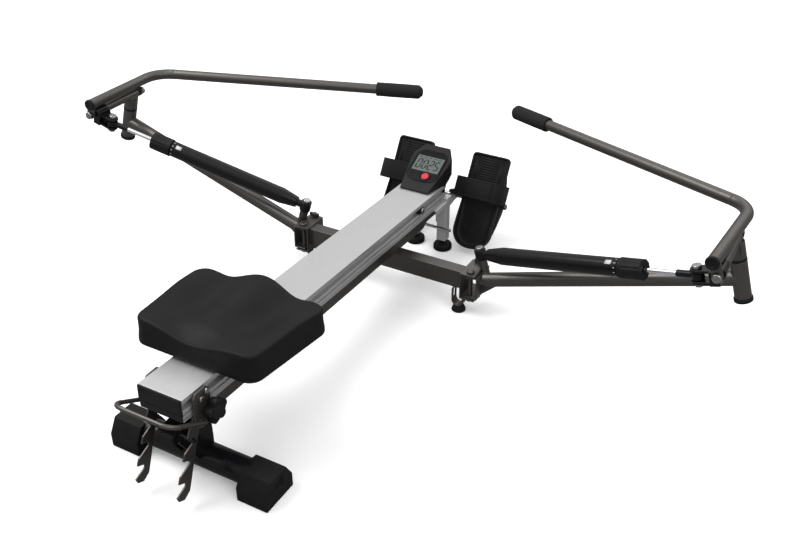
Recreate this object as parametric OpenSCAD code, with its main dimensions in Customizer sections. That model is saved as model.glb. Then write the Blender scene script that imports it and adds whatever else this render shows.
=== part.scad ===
// Folding sculling rower: two hydraulic oar handles on hinged outriggers, a rail with a sliding seat,
// tilting footplates, a small display and a rear foot that sets the height of the rail.
// Millimetres. The rower faces +Y, right is +X, and the floor is Z = 0.

/* [Rail] */
// width of the aluminium rail
rail_w = 95; // [85:1:105]
// height of the aluminium rail
rail_h = 46; // [40:1:52]
// length of the rail
rail_len = 967; // [900:1:1000]
// rear end of the rail, measured from the hinge pins
rail_rear_y = -745; // [-780:1:-720]
// height of the rail's top above the hinge pins
rail_top_z = 192; // [188:1:196]
// slope of the rail down toward the front, in degrees
rail_slope = 2.2; // [1.8:0.1:2.6]
// height of the roller track in each side of the rail
track_h = 14; // [12:1:16]
// depth of the roller track
track_deep = 11; // [9:1:12]
// distance from the rail's top to the track
track_drop = 9; // [8:1:10]

/* [Base frame] */
// width of the steel spine under the rail
spine_w = 60; // [50:1:64]
// height of the steel spine
spine_h = 44; // [40:1:46]
// half the length of the cross tube
cross_half = 200; // [190:1:210]
// height of the cross tube
cross_h = 43; // [40:1:45]
// depth of the cross tube, front to back
cross_deep = 30; // [26:1:34]
// wall of the steel tubes
tube_wall = 2; // [1.5:0.1:3]
// side of the square front posts
post_side = 24; // [20:1:26]
// distance of each front post from the middle
post_x = 38; // [36:1:39]
// diameter of the levelling feet
foot_dia = 46; // [34:1:48]

/* [Seat] */
// width of the seat pad at its front
seat_w = 296; // [270:1:310]
// width of the seat pad at its rear
seat_rear_w = 258; // [250:1:296]
// length of the seat pad, front to back
seat_deep = 214; // [200:1:225]
// thickness of the seat pad at its edges
seat_thick = 48; // [44:1:54]
// depth of the two thigh hollows in the seat pad
hollow_deep = 13; // [6:1:15]

/* [Outriggers] */
// angle each outrigger rises outward, in degrees
arm_tilt = 17; // [16:0.5:18]
// distance from the middle to the swivel, along the slope of the outrigger
swivel_u = 806.8; // [780:0.2:820]
// diameter of the outrigger tube
arm_dia = 32; // [28:1:34]
// outside diameter of the swivel sleeve
sleeve_dia = 33; // [32:1:36]
// height of the swivel sleeve
sleeve_h = 79; // [70:1:84]
// diameter of the spindle that turns in the sleeve
spindle_dia = 25; // [24:1:26]
// distance of the hinge pin from the middle
hinge_x = 220; // [218:1:222]
// diameter of the hinge pin
hinge_dia = 10; // [8:1:10]

/* [Handles] */
// diameter of the handle tube
handle_dia = 25; // [22:1:26]
// radius of the bend in the handle tube
bend_r = 68; // [55:1:80]
// diameter of the foam grip
grip_dia = 35; // [32:1:36]
// length of the foam grip
grip_len = 120; // [100:1:130]

/* [Cylinders] */
// diameter of the cylinder barrel
barrel_dia = 38; // [34:1:40]
// diameter of the adjuster collar
collar_dia = 42; // [41:1:43]
// diameter of the piston rod
rod_dia = 10; // [8:1:10]

/* [Footplates] */
// width of each footplate
plate_w = 98; // [92:1:100]
// angle of the footplates above the floor, in degrees
plate_angle = 59; // [57:1:61]

/* [Hidden] */
$fn = 48;

left = -1;
right = 1;

// moves the hinge pins back so that the origin is under the middle of the whole machine
y_shift = 175.65;

steel = [0.29, 0.27, 0.255];
silver = [0.78, 0.78, 0.79];
bolt_steel = [0.72, 0.72, 0.72];
black = [0.07, 0.07, 0.08];
rubber_black = [0.05, 0.05, 0.05];
foam_black = [0.10, 0.10, 0.11];
chrome = [0.85, 0.86, 0.88];
screen_green = [0.43, 0.47, 0.45];
button_red = [0.78, 0.16, 0.22];

// running clearance around every pin, on the radius
fit = 0.05;
// space left between pieces that almost touch
gap = 0.5;
// overlap used so that cuts break cleanly through a face
cut = 1;
// turn that keeps the seam of a round pin away from the faces that it meets
seam_turn = 70;
// extra radius of a bend over the straight tubes that it joins
weld = 0.1;

// rail
rail_wall = 3;
rail_top_wall = 4;
lip_drop = 30;
lip_h = 4;
lip_deep = 4;
cap_len = 4;
cap_h = 32;
cap_lip = 1;
cap_w = 93;
front_cap_h = 40;
front_cap_w = 88;

// spine and cross tube
spine_rear_y = -690;
spine_front_y = 146;
spine_step = 18;
tongue_h = 33;
tongue_front_y = 219;
cross_y = 15;
cross_top_z = 103;
channel_h = 66;
channel_top_z = 108;
channel_depth = 36;
channel_rear_y = -12;
channel_front_y = 57;
channel_wall = 3;
channel_gap = 2;
lock_y = 50;
lock_slot_rear = 10;
lock_slot_front = 4.5;
hinge_y = 2;
lock_dia = 8;
end_foot_x = 193;
end_foot_y = 5;
end_foot_w = 28;
end_foot_deep = 22;
end_foot_bottom_z = 15;
end_pad_dia = 32;
end_pad_h = 14;
end_pad_edge = 4;
end_pad_top_dia = 24;
slot_w = 8;
slot_h = 22;

// front posts and the parts they carry
post_y = 230;
post_top_z = 136;
post_bottom_z = 26;
post_wall = 2;
foot_h = 17;
foot_stem_dia = 10;
foot_stem_top = 60;
strip_rear_y = 163;
flange_h = 10;
strip_wall = 3;
axle_y = 327;
axle_z = 100;
axle_dia = 10;
axle_half = 164;
rod_y = 215;
rod_z = 63.5;
rod_half = 66;
stop_rod_dia = 8;

// monitor
mon_rear_y = 146;
mon_front_y = 272;
mon_low_w = 74;
mon_high_w = 102;
mon_tip_w = 54;
mon_wide_from = 82;
mon_wide_to = 98;
mon_lean = 8;
mon_front_low = 30;
mon_under = 69;
mon_angle = 26;
mon_lip = 4;
mon_sink = 5;
mon_base_z = 187;
lcd_w = 70;
lcd_h = 46;
lcd_at = 58;
bezel_w = 80;
bezel_h = 94;
bezel_thick = 2;
button_dia = 19;
button_x = 9;
button_at = 44;
button_out = 4;
button_travel = 3;
button_round = 2;
bezel_round = 22;
bezel_drop = 6;
bezel_lip = 0.6;

// seat
seat_y = -552;
seat_bottom = 8;
seat_corner = 36;
hollow_x = 66;
hollow_r = 260;
pan_w = 220;
pan_deep = 150;
pan_h = 7;
pan_round = 20;
carriage_plate_h = 4;
carriage_len = 150;
carriage_wall = 3;
carriage_gap = 1.5;
roller_dia = 13;
roller_w = 7;
roller_pitch = 100;
roller_pin_dia = 5;
stop_y = 96;

// outriggers, in a frame that slopes up with them: u outward, y forward, w square to both
tube_w0 = 12;
tube_y_in = 20;
tube_y_out = 34;
sleeve_w0 = -28.6;
sleeve_cap_dia = 37;
sleeve_cap_h = 8;
bush_h = 5;
pivot_u = 262;
pivot_y = 30;
pivot_w = 70;
stub_dia = 20;
pivot_dia = 8;
gusset_t = 4;
gusset_lip = 3;
arm_bracket_in = 8;
arm_bracket_rear_y = -10;
arm_start_overlap = 8;
bore_reach = 40;

// yoke and knuckle
bar_w = 90;
bar_dia = 20;
bar_y0 = -59;
bar_y1 = 52;
bar_bolt_dia = 10;
crank_u = -42.8;
crank_y = -114;
fork_r = 13;
fork_lug_t = 6;
fork_gap = 18;
hub_dia = 26;
hub_y0 = -98;
hub_y1 = -61;
near_tab_y = -110;
far_tab_y = 56;
tab_t = 6;
tab_w = 20;
tab_sink = 4;

// handle path, in the same sloping frame
handle_plug_at = [804.5, -114.7, 122.4];
handle_corner_at = [817.8, 137.7, 110.5];
handle_grip_at = [214.9, 428, 258.5];
plug_len = 6;

// cylinder, along its own axis from the inner pivot
barrel_from = 62;
barrel_to = 352;
barrel_wall = 3;
bore_from = 80;
bore_to = 340;
nose_from = 22;
nose_dia = 26;
eye_dia = 26;
eye_h = 24;
neck_dia = 34;
collar_from = 354;
collar_len = 50;
neck_to = 402;
rod_from = 230;
rod_end_len = 34;
rod_end_dia = 14;
rod_eye_dia = 24;
rod_eye_h = 12;
cylinder_rise = 1;

// footplates, measured from the axle: s up the plate, n out of its face
plate_inner_x = 55;
plate_heel_s = -121;
plate_toe_s = 116;
tread_n = 27;
tread_t = 8;
heel_round = 42;
rim_h = 6;
rim_w = 5;
rib_t = 4;
rib_h = 2;
rib_pitch = 9;
rib_count = 8;
lug_w = 10;
strap_w = 48;
strap_t = 2.5;
strap_s = 24;
strap_rise = 46;
strap_in = 14;
strap_out = 14;
strap_round = 26;

// rear foot and height latch
leg_pivot_y = -560;
leg_pivot_z = 136;
neck_slot = 30;
neck_end_y = -743;
neck_end_z = 121;
neck_w = 38;
neck_h = 22;
neck_plug_t = 5;
leg_wall = 2.5;
foot_tube_dia = 50;
foot_tube_y = -671;
foot_tube_z = 34;
foot_tube_half = 122;
end_cap_x0 = 112;
end_cap_x1 = 177;
end_cap_low = 80;
end_cap_top = 46;
end_cap_h = 58;
cap_slot_deep = 4;
cap_slot_w = 22;
cap_slot_h = 22;
cap_slot_z = 24;
cheek_t = 5;
cheek_w = 18;
cheek_low = 14;
cheek_back = 8;
pin_dia = 8;
latch_y = -712;
latch_z = 160;
latch_x = 46;
latch_t = 3;
latch_w = 20;
latch_len = 150;
latch_lean = 26;
latch_first = 38;
latch_step = 41.5;
latch_flare = 48;
latch_tooth = 15;
latch_foot = 20;
wire_dia = 8;
wire_half = 64;
wire_back = 78;
wire_up = 45;
wire_bend = 24;
side_plate_x = 50;
side_plate_t = 4;
side_rear_y = -722;
side_front_y = -679;
side_low_z = 140;
side_high_z = 217;
side_step = 8;
side_bolts = [[-688, 208], [-703, 200]];
side_bolt_dia = 12;
knob_y = -684;
knob_z = 168;
knob_dia = 48;

channel_low_z = channel_top_z - channel_h;
arm_high_z = channel_top_z - channel_wall - channel_gap;
arm_low_z = channel_low_z + channel_wall + channel_gap;
knuckle_at = [swivel_u + crank_u, tube_y_out + crank_y];
rod_span = norm(knuckle_at - [pivot_u, pivot_y]);
rod_turn = atan2(knuckle_at.y - pivot_y, knuckle_at.x - pivot_u);
eye_rise = rod_span * sin(cylinder_rise);
leg_pin_y = latch_y - latch_first * sin(latch_lean);
leg_pin_z = latch_z - latch_first * cos(latch_lean);
neck_lean = atan2(neck_end_z - leg_pivot_z, leg_pivot_y - neck_end_y);
neck_reach = norm([neck_end_z - leg_pivot_z, leg_pivot_y - neck_end_y]);

function unit(v) = v / norm(v);

function turns(ex, ey, ez) = [atan2(ey.z, ez.z), -asin(ex.z), atan2(ex.y, ex.x)];

module whole() {
    translate([0, y_shift, 0]) children();
}

module on(side) {
    whole() {
        if (side == left) mirror([1, 0, 0]) children();
        else children();
    }
}

module both() {
    children();
    mirror([1, 0, 0]) children();
}

module rail_frame() {
    whole() translate([0, 0, rail_top_z]) rotate([-rail_slope, 0, 0]) children();
}

module arm_frame(side) {
    on(side) rotate([0, -arm_tilt, 0]) children();
}

module cylinder_frame(side) {
    arm_frame(side)
        translate([pivot_u, pivot_y, pivot_w])
            rotate([0, 0, rod_turn])
                rotate([0, -cylinder_rise, 0]) children();
}

module plate_frame(side) {
    on(side) translate([0, axle_y, axle_z]) rotate([plate_angle, 0, 0]) children();
}

module centred(size) {
    translate([-size.x / 2, -size.y / 2, 0]) cube(size);
}

module block(from, to) {
    translate(from) cube(to - from);
}

module along_x(from, to, r) {
    translate([from, 0, 0]) rotate([0, 90, 0]) cylinder(h = to - from, r = r);
}

module along_y(from, to, r) {
    translate([0, from, 0]) rotate([-90, 0, 0]) cylinder(h = to - from, r = r);
}

module tube_between(p, q, r) {
    d = q - p;
    translate(p) rotate([0, acos(d.z / norm(d)), atan2(d.y, d.x)]) cylinder(h = norm(d), r = r);
}

module hollow_tube(p, q, r, wall) {
    difference() {
        tube_between(p, q, r);
        if (wall < r) tube_between(p - unit(q - p) * cut, q + unit(q - p) * cut, r - wall);
    }
}

// two straight tubes joined by a bend, which is a hair thicker so that the pieces weld cleanly
module bent_tube(p, b, q, turn_r, r, wall) {
    d1 = unit(b - p);
    d2 = unit(q - b);
    turn = acos(d1 * d2);
    run = turn_r * tan(turn / 2);
    centre = b + unit(d2 - d1) * turn_r / cos(turn / 2);
    start = b - d1 * run;
    ex = (start - centre) / turn_r;
    hollow_tube(p, start + d1 * cut, r, wall);
    hollow_tube(b + d2 * (run - cut), q, r, wall);
    translate(centre)
        rotate(turns(ex, d1, cross(ex, d1)))
            rotate_extrude(angle = turn) translate([turn_r, 0]) difference() {
                circle(r + weld);
                if (wall < r) circle(r - wall + weld);
            }
}

module side_profile(x0, x1) {
    translate([x0, 0, 0]) rotate([90, 0, 90]) linear_extrude(x1 - x0) children();
}

module hex_head(dia, h) {
    cylinder(h = h, d = dia, $fn = 6);
}

module rounded_end(r, h, round_r) {
    rotate_extrude() {
        square([r, h - round_r]);
        square([r - round_r, h]);
        intersection() {
            translate([r - round_r, h - round_r]) circle(round_r);
            square([r, h]);
        }
    }
}

module rounded_plate(w, h, r) {
    square([w - 2 * r, h], center = true);
    square([w, h - 2 * r], center = true);
    for (x = [-1, 1], y = [-1, 1]) translate([x * (w / 2 - r), y * (h / 2 - r)]) circle(r);
}

// ---------------------------------------------------------------- rail and base frame

module rail_section() {
    difference() {
        translate([-rail_w / 2, -rail_h]) square([rail_w, rail_h]);
        for (x = [-rail_w / 2 - cut, rail_w / 2 - track_deep]) {
            translate([x, -track_drop - track_h]) square([track_deep + cut, track_h]);
        }
        for (x = [-rail_w / 2 - cut, rail_w / 2 - lip_deep]) {
            translate([x, -lip_drop - lip_h]) square([lip_deep + cut, lip_h]);
        }
        inner = rail_w / 2 - track_deep - rail_wall;
        translate([-inner, -rail_h + rail_wall]) square([2 * inner, rail_h - rail_wall - rail_top_wall]);
    }
}

module rail() {
    color(silver)
        rail_frame()
            translate([0, rail_rear_y + rail_len, 0])
                rotate([90, 0, 0]) linear_extrude(rail_len - cap_len) rail_section();
}

module rail_end_caps() {
    color(black) rail_frame() {
        block([-cap_w / 2, rail_rear_y, -cap_h], [cap_w / 2, rail_rear_y + cap_len, 0]);
        block(
            [-cap_w / 2 + cap_lip, rail_rear_y + cap_lip, -rail_h],
            [cap_w / 2 - cap_lip, rail_rear_y + cap_len, -cap_h + cut]
        );
        front_y = rail_rear_y + rail_len;
        block(
            [-front_cap_w / 2, front_y, -front_cap_h - cut],
            [front_cap_w / 2, front_y + cap_len, -cut]
        );
    }
}

// side view of the spine, which steps up near its front end
module spine_side(wall) {
    low = -rail_h - spine_h + wall;
    nose_low = -rail_h - tongue_h + wall;
    polygon([
        [spine_rear_y - wall, -rail_h - wall],
        [spine_rear_y - wall, low],
        [spine_front_y - wall / 2, low],
        [spine_front_y + spine_step - wall / 2, nose_low],
        [tongue_front_y + wall, nose_low],
        [tongue_front_y + wall, -rail_h - wall]
    ]);
}

module spine_outside() {
    rail_frame() side_profile(-spine_w / 2, spine_w / 2) spine_side(0);
}

module spine_tube() {
    color(steel) difference() {
        spine_outside();
        rail_frame() side_profile(-spine_w / 2 + tube_wall, spine_w / 2 - tube_wall) spine_side(tube_wall);
        whole() translate([0, leg_pivot_y, leg_pivot_z]) {
            along_x(-spine_w, spine_w, pin_dia / 2);
            block(
                [-neck_w / 2 - 2 * gap, spine_rear_y - leg_pivot_y - neck_slot, -spine_h],
                [neck_w / 2 + 2 * gap, neck_slot, 0]
            );
        }
    }
}

module hinge_channel() {
    difference() {
        block(
            [cross_half, channel_rear_y, channel_low_z],
            [cross_half + channel_depth, channel_front_y, channel_top_z]
        );
        block(
            [cross_half + channel_wall, channel_rear_y - cut, channel_low_z + channel_wall],
            [cross_half + channel_depth + cut, channel_front_y + cut, channel_top_z - channel_wall]
        );
        translate([hinge_x, hinge_y, channel_low_z - cut]) cylinder(h = channel_h + 2 * cut, d = hinge_dia);
        translate([hinge_x, lock_y, channel_low_z - cut])
            cylinder(h = channel_h + 2 * cut, r = lock_slot_front);
        block(
            [hinge_x + cut, lock_y - lock_slot_rear, channel_low_z - cut],
            [cross_half + channel_depth + cut, lock_y + lock_slot_front, channel_top_z + cut]
        );
    }
}

module end_foot_bracket() {
    slot_z = (end_foot_bottom_z + cross_top_z - cross_h + end_foot_w / 2) / 2;
    x_end = end_foot_x + end_foot_w / 2;
    difference() {
        translate([0, end_foot_y + end_foot_deep / 2, 0])
            rotate([90, 0, 0]) linear_extrude(end_foot_deep) difference() {
                foot_outline(0);
                foot_outline(channel_wall);
            }
        translate([0, end_foot_y, slot_z])
            block([0, -slot_w / 2, -slot_h / 2], [end_foot_x, slot_w / 2, slot_h / 2]);
        block(
            [cross_half, channel_rear_y, channel_low_z + channel_wall],
            [x_end + cut, channel_front_y, cross_top_z]
        );
    }
}

module foot_outline(inset) {
    r = end_foot_w / 2;
    translate([end_foot_x, end_foot_bottom_z + r]) circle(r - inset);
    translate([end_foot_x - r + inset, end_foot_bottom_z + r])
        square([end_foot_w - 2 * inset, cross_top_z - cross_h - end_foot_bottom_z - r]);
}

module cross_tube() {
    y0 = cross_y - cross_deep / 2;
    z0 = cross_top_z - cross_h;
    color(steel) {
        difference() {
            whole() block([-cross_half, y0, z0], [cross_half, y0 + cross_deep, cross_top_z]);
            whole() block(
                [-cross_half + tube_wall, y0 + tube_wall, z0 + tube_wall],
                [cross_half - tube_wall, y0 + cross_deep - tube_wall, cross_top_z - tube_wall]
            );
            spine_outside();
        }
        whole() both() {
            hinge_channel();
            end_foot_bracket();
        }
    }
}

module hinge_bolts() {
    head_h = 6;
    head_dia = 17;
    color(bolt_steel) whole() both() translate([hinge_x, hinge_y, 0]) {
        translate([0, 0, channel_low_z - head_h]) cylinder(h = channel_h + head_h * 2, d = hinge_dia);
        translate([0, 0, channel_top_z]) rounded_end(head_dia / 2, head_h, head_h / 2);
        translate([0, 0, channel_low_z - head_h]) hex_head(head_dia, head_h);
    }
}

module end_foot_pads() {
    color(rubber_black) whole() both() translate([end_foot_x, end_foot_y, 0])
        rotate_extrude() polygon([
            [0, 0],
            [end_pad_dia / 2, 0],
            [end_pad_dia / 2, end_pad_edge],
            [end_pad_top_dia / 2, end_pad_h],
            [end_pad_top_dia / 2, end_foot_bottom_z],
            [0, end_foot_bottom_z]
        ]);
}

// ---------------------------------------------------------------- front posts and footplate axle

module front_posts() {
    color(silver) whole() both() {
        difference() {
            translate([post_x, post_y, post_bottom_z])
                centred([post_side, post_side, post_top_z - post_bottom_z]);
            translate([post_x, post_y, post_bottom_z - cut])
                centred([post_side - 2 * post_wall, post_side - 2 * post_wall, foot_stem_top]);
            translate([0, rod_y, rod_z]) along_x(0, rod_half, stop_rod_dia / 2);
        }
        translate([post_x, post_y, post_bottom_z]) difference() {
            centred([post_side - 2 * post_wall, post_side - 2 * post_wall, post_wall]);
            translate([0, 0, -cut]) cylinder(h = post_wall + 2 * cut, d = foot_stem_dia + 2 * fit);
        }
    }
}

module axle_plate() {
    difference() {
        polygon([
            [post_y - post_side / 2, post_top_z],
            [post_y + post_side / 2, post_top_z],
            [axle_y + axle_dia, axle_z + axle_dia],
            [axle_y + axle_dia, axle_z - axle_dia],
            [axle_y - axle_dia, axle_z - axle_dia],
            [post_y - post_side / 2, axle_z - post_side]
        ]);
        translate([axle_y, axle_z]) circle(d = axle_dia);
    }
}

module front_bracket() {
    inner = post_x - post_side / 2;
    outer = post_x + post_side / 2;
    rear = post_y - post_side / 2;
    front = post_y + post_side / 2;
    far = outer + strip_wall;
    color(silver) difference() {
        whole() {
            block([-far, rear, post_top_z], [far, front, rail_top_z - rail_h]);
            block([-far, strip_rear_y, post_top_z], [far, front, post_top_z + strip_wall]);
            both() {
                block([outer, strip_rear_y, post_top_z - flange_h], [far, front, post_top_z + strip_wall]);
                side_profile(inner - strip_wall, inner) axle_plate();
            }
        }
        rail_clearance();
        spine_outside();
    }
}

module stop_rod() {
    color(chrome) whole() translate([0, rod_y, rod_z]) along_x(-rod_half, rod_half, stop_rod_dia / 2);
}

module footplate_axle() {
    nut_h = 7;
    nut_dia = 17;
    color(bolt_steel) whole() translate([0, axle_y, axle_z]) {
        along_x(-axle_half, axle_half, axle_dia / 2);
        both() translate([plate_inner_x + plate_w + 2, 0, 0]) rotate([0, 90, 0]) hex_head(nut_dia, nut_h);
    }
}

module levelling_foot(side) {
    color(rubber_black) on(side) translate([post_x, post_y, 0]) {
        rounded_end(foot_dia / 2, foot_h, foot_h / 2);
        cylinder(h = post_bottom_z - post_wall, d = foot_stem_dia * 2);
        cylinder(h = foot_stem_top, d = foot_stem_dia);
    }
}

module front_foot_left() {
    levelling_foot(left);
}

module front_foot_right() {
    levelling_foot(right);
}

// ---------------------------------------------------------------- monitor

module monitor_side() {
    rise = (mon_front_y - mon_rear_y) * tan(mon_angle);
    polygon([
        [mon_rear_y, -mon_sink],
        [mon_rear_y, mon_lip],
        [mon_front_y, mon_lip + rise],
        [mon_front_y + mon_lean, rise - mon_lean],
        [mon_front_y + mon_lean / 2, mon_front_low],
        [mon_rear_y + mon_under, -mon_sink]
    ]);
}

module monitor_outline() {
    far_y = mon_front_y + mon_lean + cut;
    polygon([
        [-mon_low_w / 2, mon_rear_y - cut],
        [mon_low_w / 2, mon_rear_y - cut],
        [mon_high_w / 2, mon_rear_y + mon_wide_from],
        [mon_high_w / 2, mon_rear_y + mon_wide_to],
        [mon_tip_w / 2, far_y],
        [-mon_tip_w / 2, far_y],
        [-mon_high_w / 2, mon_rear_y + mon_wide_to],
        [-mon_high_w / 2, mon_rear_y + mon_wide_from]
    ]);
}

module monitor_frame() {
    whole() translate([0, 0, mon_base_z]) children();
}

module monitor_face() {
    monitor_frame() translate([0, mon_rear_y, mon_lip]) rotate([mon_angle, 0, 0]) children();
}

module rail_clearance() {
    rail_frame() block(
        [-rail_w / 2, rail_rear_y, -rail_h],
        [rail_w / 2, rail_rear_y + rail_len + cap_len, 0]
    );
}

module monitor_housing() {
    color(black) difference() {
        monitor_frame() intersection() {
            side_profile(-mon_high_w, mon_high_w) monitor_side();
            translate([0, 0, -mon_sink]) linear_extrude(mon_high_w) monitor_outline();
        }
        rail_clearance();
        monitor_face() translate([0, lcd_at + lcd_h / 2 - bezel_drop, -bezel_thick])
            linear_extrude(bezel_thick + cut) rounded_plate(bezel_w, bezel_h, bezel_round);
        monitor_face() translate([button_x, button_at, -button_out * 2])
            cylinder(h = button_out * 3, d = button_dia + 2 * gap);
    }
}

module monitor_bezel() {
    color(black) monitor_face() difference() {
        translate([0, lcd_at + lcd_h / 2 - bezel_drop, -bezel_thick])
            linear_extrude(bezel_thick + bezel_lip)
                rounded_plate(bezel_w - gap, bezel_h - gap, bezel_round);
        translate([0, lcd_at + lcd_h / 2, -bezel_thick / 2]) centred([lcd_w, lcd_h, bezel_thick * 2]);
        translate([button_x, button_at, -bezel_thick - cut])
            cylinder(h = bezel_thick * 3, d = button_dia + 2 * gap);
    }
}

module lcd_screen() {
    color(screen_green) monitor_face()
        translate([0, lcd_at + lcd_h / 2, -bezel_thick / 2])
            centred([lcd_w - 2 * fit, lcd_h - 2 * fit, bezel_thick / 2 + 2 * fit]);
}

module monitor_button() {
    color(button_red) monitor_face()
        translate([button_x, button_at, -button_out])
            rounded_end(button_dia / 2, button_out + button_travel, button_round);
}

// ---------------------------------------------------------------- seat

module seat_frame() {
    rail_frame() translate([0, seat_y, 0]) children();
}

module seat_outline(inset) {
    r = seat_corner - inset;
    x_rear = seat_rear_w / 2 - seat_corner;
    x_front = seat_w / 2 - seat_corner;
    y = seat_deep / 2 - seat_corner;
    for (x = [-x_rear, x_rear]) translate([x, -y]) circle(r);
    for (x = [-x_front, x_front]) translate([x, y]) circle(r);
    lean = atan2(x_front - x_rear, 2 * y);
    side_x = r * cos(lean);
    side_y = r * sin(lean);
    polygon([
        [-x_rear - side_x, -y - side_y],
        [-x_rear, -y - r],
        [x_rear, -y - r],
        [x_rear + side_x, -y - side_y],
        [x_front + side_x, y - side_y],
        [x_front, y + r],
        [-x_front, y + r],
        [-x_front - side_x, y - side_y]
    ]);
}

module seat_pad() {
    color(foam_black) seat_frame() difference() {
        translate([0, 0, seat_bottom + pan_h]) linear_extrude(seat_thick) seat_outline(0);
        for (x = [-hollow_x, hollow_x]) {
            translate([x, 0, seat_bottom + pan_h + seat_thick - hollow_deep + hollow_r])
                along_y(-seat_deep, seat_deep, hollow_r);
        }
    }
}

module seat_pan() {
    color(black) seat_frame()
        translate([0, 0, seat_bottom]) linear_extrude(pan_h) rounded_plate(pan_w, pan_deep, pan_round);
}

module seat_carriage() {
    top = seat_bottom;
    x0 = rail_w / 2 + carriage_gap;
    side_h = track_drop + track_h / 2 + roller_dia / 2;
    color(steel) seat_frame() {
        block(
            [-x0 - carriage_wall, -carriage_len / 2, top - carriage_plate_h],
            [x0 + carriage_wall, carriage_len / 2, top]
        );
        both() {
            block(
                [x0, -carriage_len / 2, -side_h],
                [x0 + carriage_wall, carriage_len / 2, top]
            );
            for (y = [-roller_pitch / 2, roller_pitch / 2]) {
                translate([0, y, -track_drop - track_h / 2])
                    along_x(x0 - carriage_gap - roller_w - 1, x0 + cut, roller_pin_dia / 2);
            }
        }
    }
}

module rollers(y) {
    color(foam_black) seat_frame() translate([0, y, -track_drop - track_h / 2]) both() difference() {
        along_x(rail_w / 2 - roller_w - 0.5, rail_w / 2 - 0.5, roller_dia / 2);
        along_x(0, rail_w, roller_pin_dia / 2 + fit);
    }
}

module front_rollers() {
    rollers(roller_pitch / 2);
}

module rear_rollers() {
    rollers(-roller_pitch / 2);
}

module seat_stops() {
    stop_len = 16;
    color(rubber_black) rail_frame() both() {
        block(
            [rail_w / 2 - track_deep, stop_y - stop_len / 2, -track_drop - track_h],
            [rail_w / 2 + 2, stop_y + stop_len / 2, -track_drop]
        );
    }
}

// ---------------------------------------------------------------- footplates

module plate_outline() {
    w = plate_w;
    translate([0, plate_heel_s + heel_round]) square([w, plate_toe_s - plate_heel_s - heel_round]);
    translate([heel_round, plate_heel_s + heel_round]) circle(heel_round);
    translate([w - heel_round, plate_heel_s + heel_round]) circle(heel_round);
    translate([heel_round, plate_heel_s]) square([w - 2 * heel_round, heel_round]);
}

module footplate(side) {
    color(black) plate_frame(side) translate([plate_inner_x, 0, 0]) difference() {
        union() {
            translate([0, 0, tread_n - tread_t]) linear_extrude(tread_t) plate_outline();
            rim_top = tread_n + rim_h;
            difference() {
                translate([0, 0, tread_n - tread_t])
                    linear_extrude(rim_top - tread_n + tread_t) plate_outline();
                block(
                    [rim_w, plate_heel_s + rim_w + heel_round / 2, tread_n - tread_t * 2],
                    [plate_w - rim_w, plate_toe_s + cut, rim_top + cut]
                );
                block(
                    [heel_round / 2, plate_heel_s + rim_w, tread_n - tread_t * 2],
                    [plate_w - heel_round / 2, plate_toe_s + cut, rim_top + cut]
                );
            }
            for (i = [0 : rib_count - 1]) {
                block(
                    [rim_w + 12, plate_toe_s - 12 - i * rib_pitch, tread_n],
                    [plate_w - rim_w - 12, plate_toe_s - 12 - i * rib_pitch + rib_t, tread_n + rib_h]
                );
            }
            for (x = [0, plate_w - lug_w]) {
                side_profile(x, x + lug_w) polygon([
                    [plate_heel_s + heel_round, tread_n - tread_t],
                    [plate_toe_s - heel_round, tread_n - tread_t],
                    [lug_w * 2, -axle_dia],
                    [-lug_w * 2, -axle_dia],
                    [-heel_round * 1.4, tread_n - tread_t * 2.5]
                ]);
            }
        }
        along_x(-cut, plate_w + cut, axle_dia / 2 + fit);
    }
}

module footplate_left() {
    footplate(left);
}

module footplate_right() {
    footplate(right);
}

module foot_strap(side) {
    base = tread_n + rim_h + gap;
    x0 = plate_inner_x - strap_in;
    x1 = plate_inner_x + plate_w + strap_out;
    crown = base + strap_rise;
    color(foam_black) plate_frame(side) translate([0, strap_s - strap_w / 2, 0])
        rotate([90, 0, 0]) mirror([0, 0, 1]) linear_extrude(strap_w) {
            difference() {
                strap_profile(x0, x1, base, crown, 0);
                strap_profile(x0, x1, base, crown, strap_t);
            }
        }
}

module strap_profile(x0, x1, low, high, inset) {
    r = strap_round;
    intersection() {
        union() {
            translate([x0 + r, high - r]) circle(r - inset);
            translate([x1 - r, high - r]) circle(r - inset);
            translate([x0 + r, low]) square([x1 - x0 - 2 * r, high - low - inset]);
            translate([x0 + inset, low + inset]) square([x1 - x0 - 2 * inset, high - low - r - inset]);
        }
        translate([x0, low]) square([x1 - x0, high - low]);
    }
}

module foot_strap_left() {
    foot_strap(left);
}

module foot_strap_right() {
    foot_strap(right);
}

// ---------------------------------------------------------------- outriggers

module arm_bracket() {
    x_out = cross_half + channel_depth + channel_wall + channel_gap;
    x_in = hinge_x - arm_bracket_in;
    difference() {
        block([x_in, arm_bracket_rear_y, arm_low_z], [x_out, channel_front_y, arm_high_z]);
        block(
            [x_in - cut, arm_bracket_rear_y - cut, arm_low_z + channel_wall],
            [x_out - channel_wall, channel_front_y + cut, arm_high_z - channel_wall]
        );
        translate([hinge_x, hinge_y, 0]) cylinder(h = channel_top_z, d = hinge_dia + 2 * fit);
        translate([hinge_x, lock_y, 0]) cylinder(h = channel_top_z, d = lock_dia + 2 * fit);
    }
}

module arm_bore() {
    translate([swivel_u, tube_y_out, sleeve_w0 - cut])
        cylinder(h = sleeve_h + 2 * cut, d = spindle_dia + 2 * fit);
}

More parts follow.
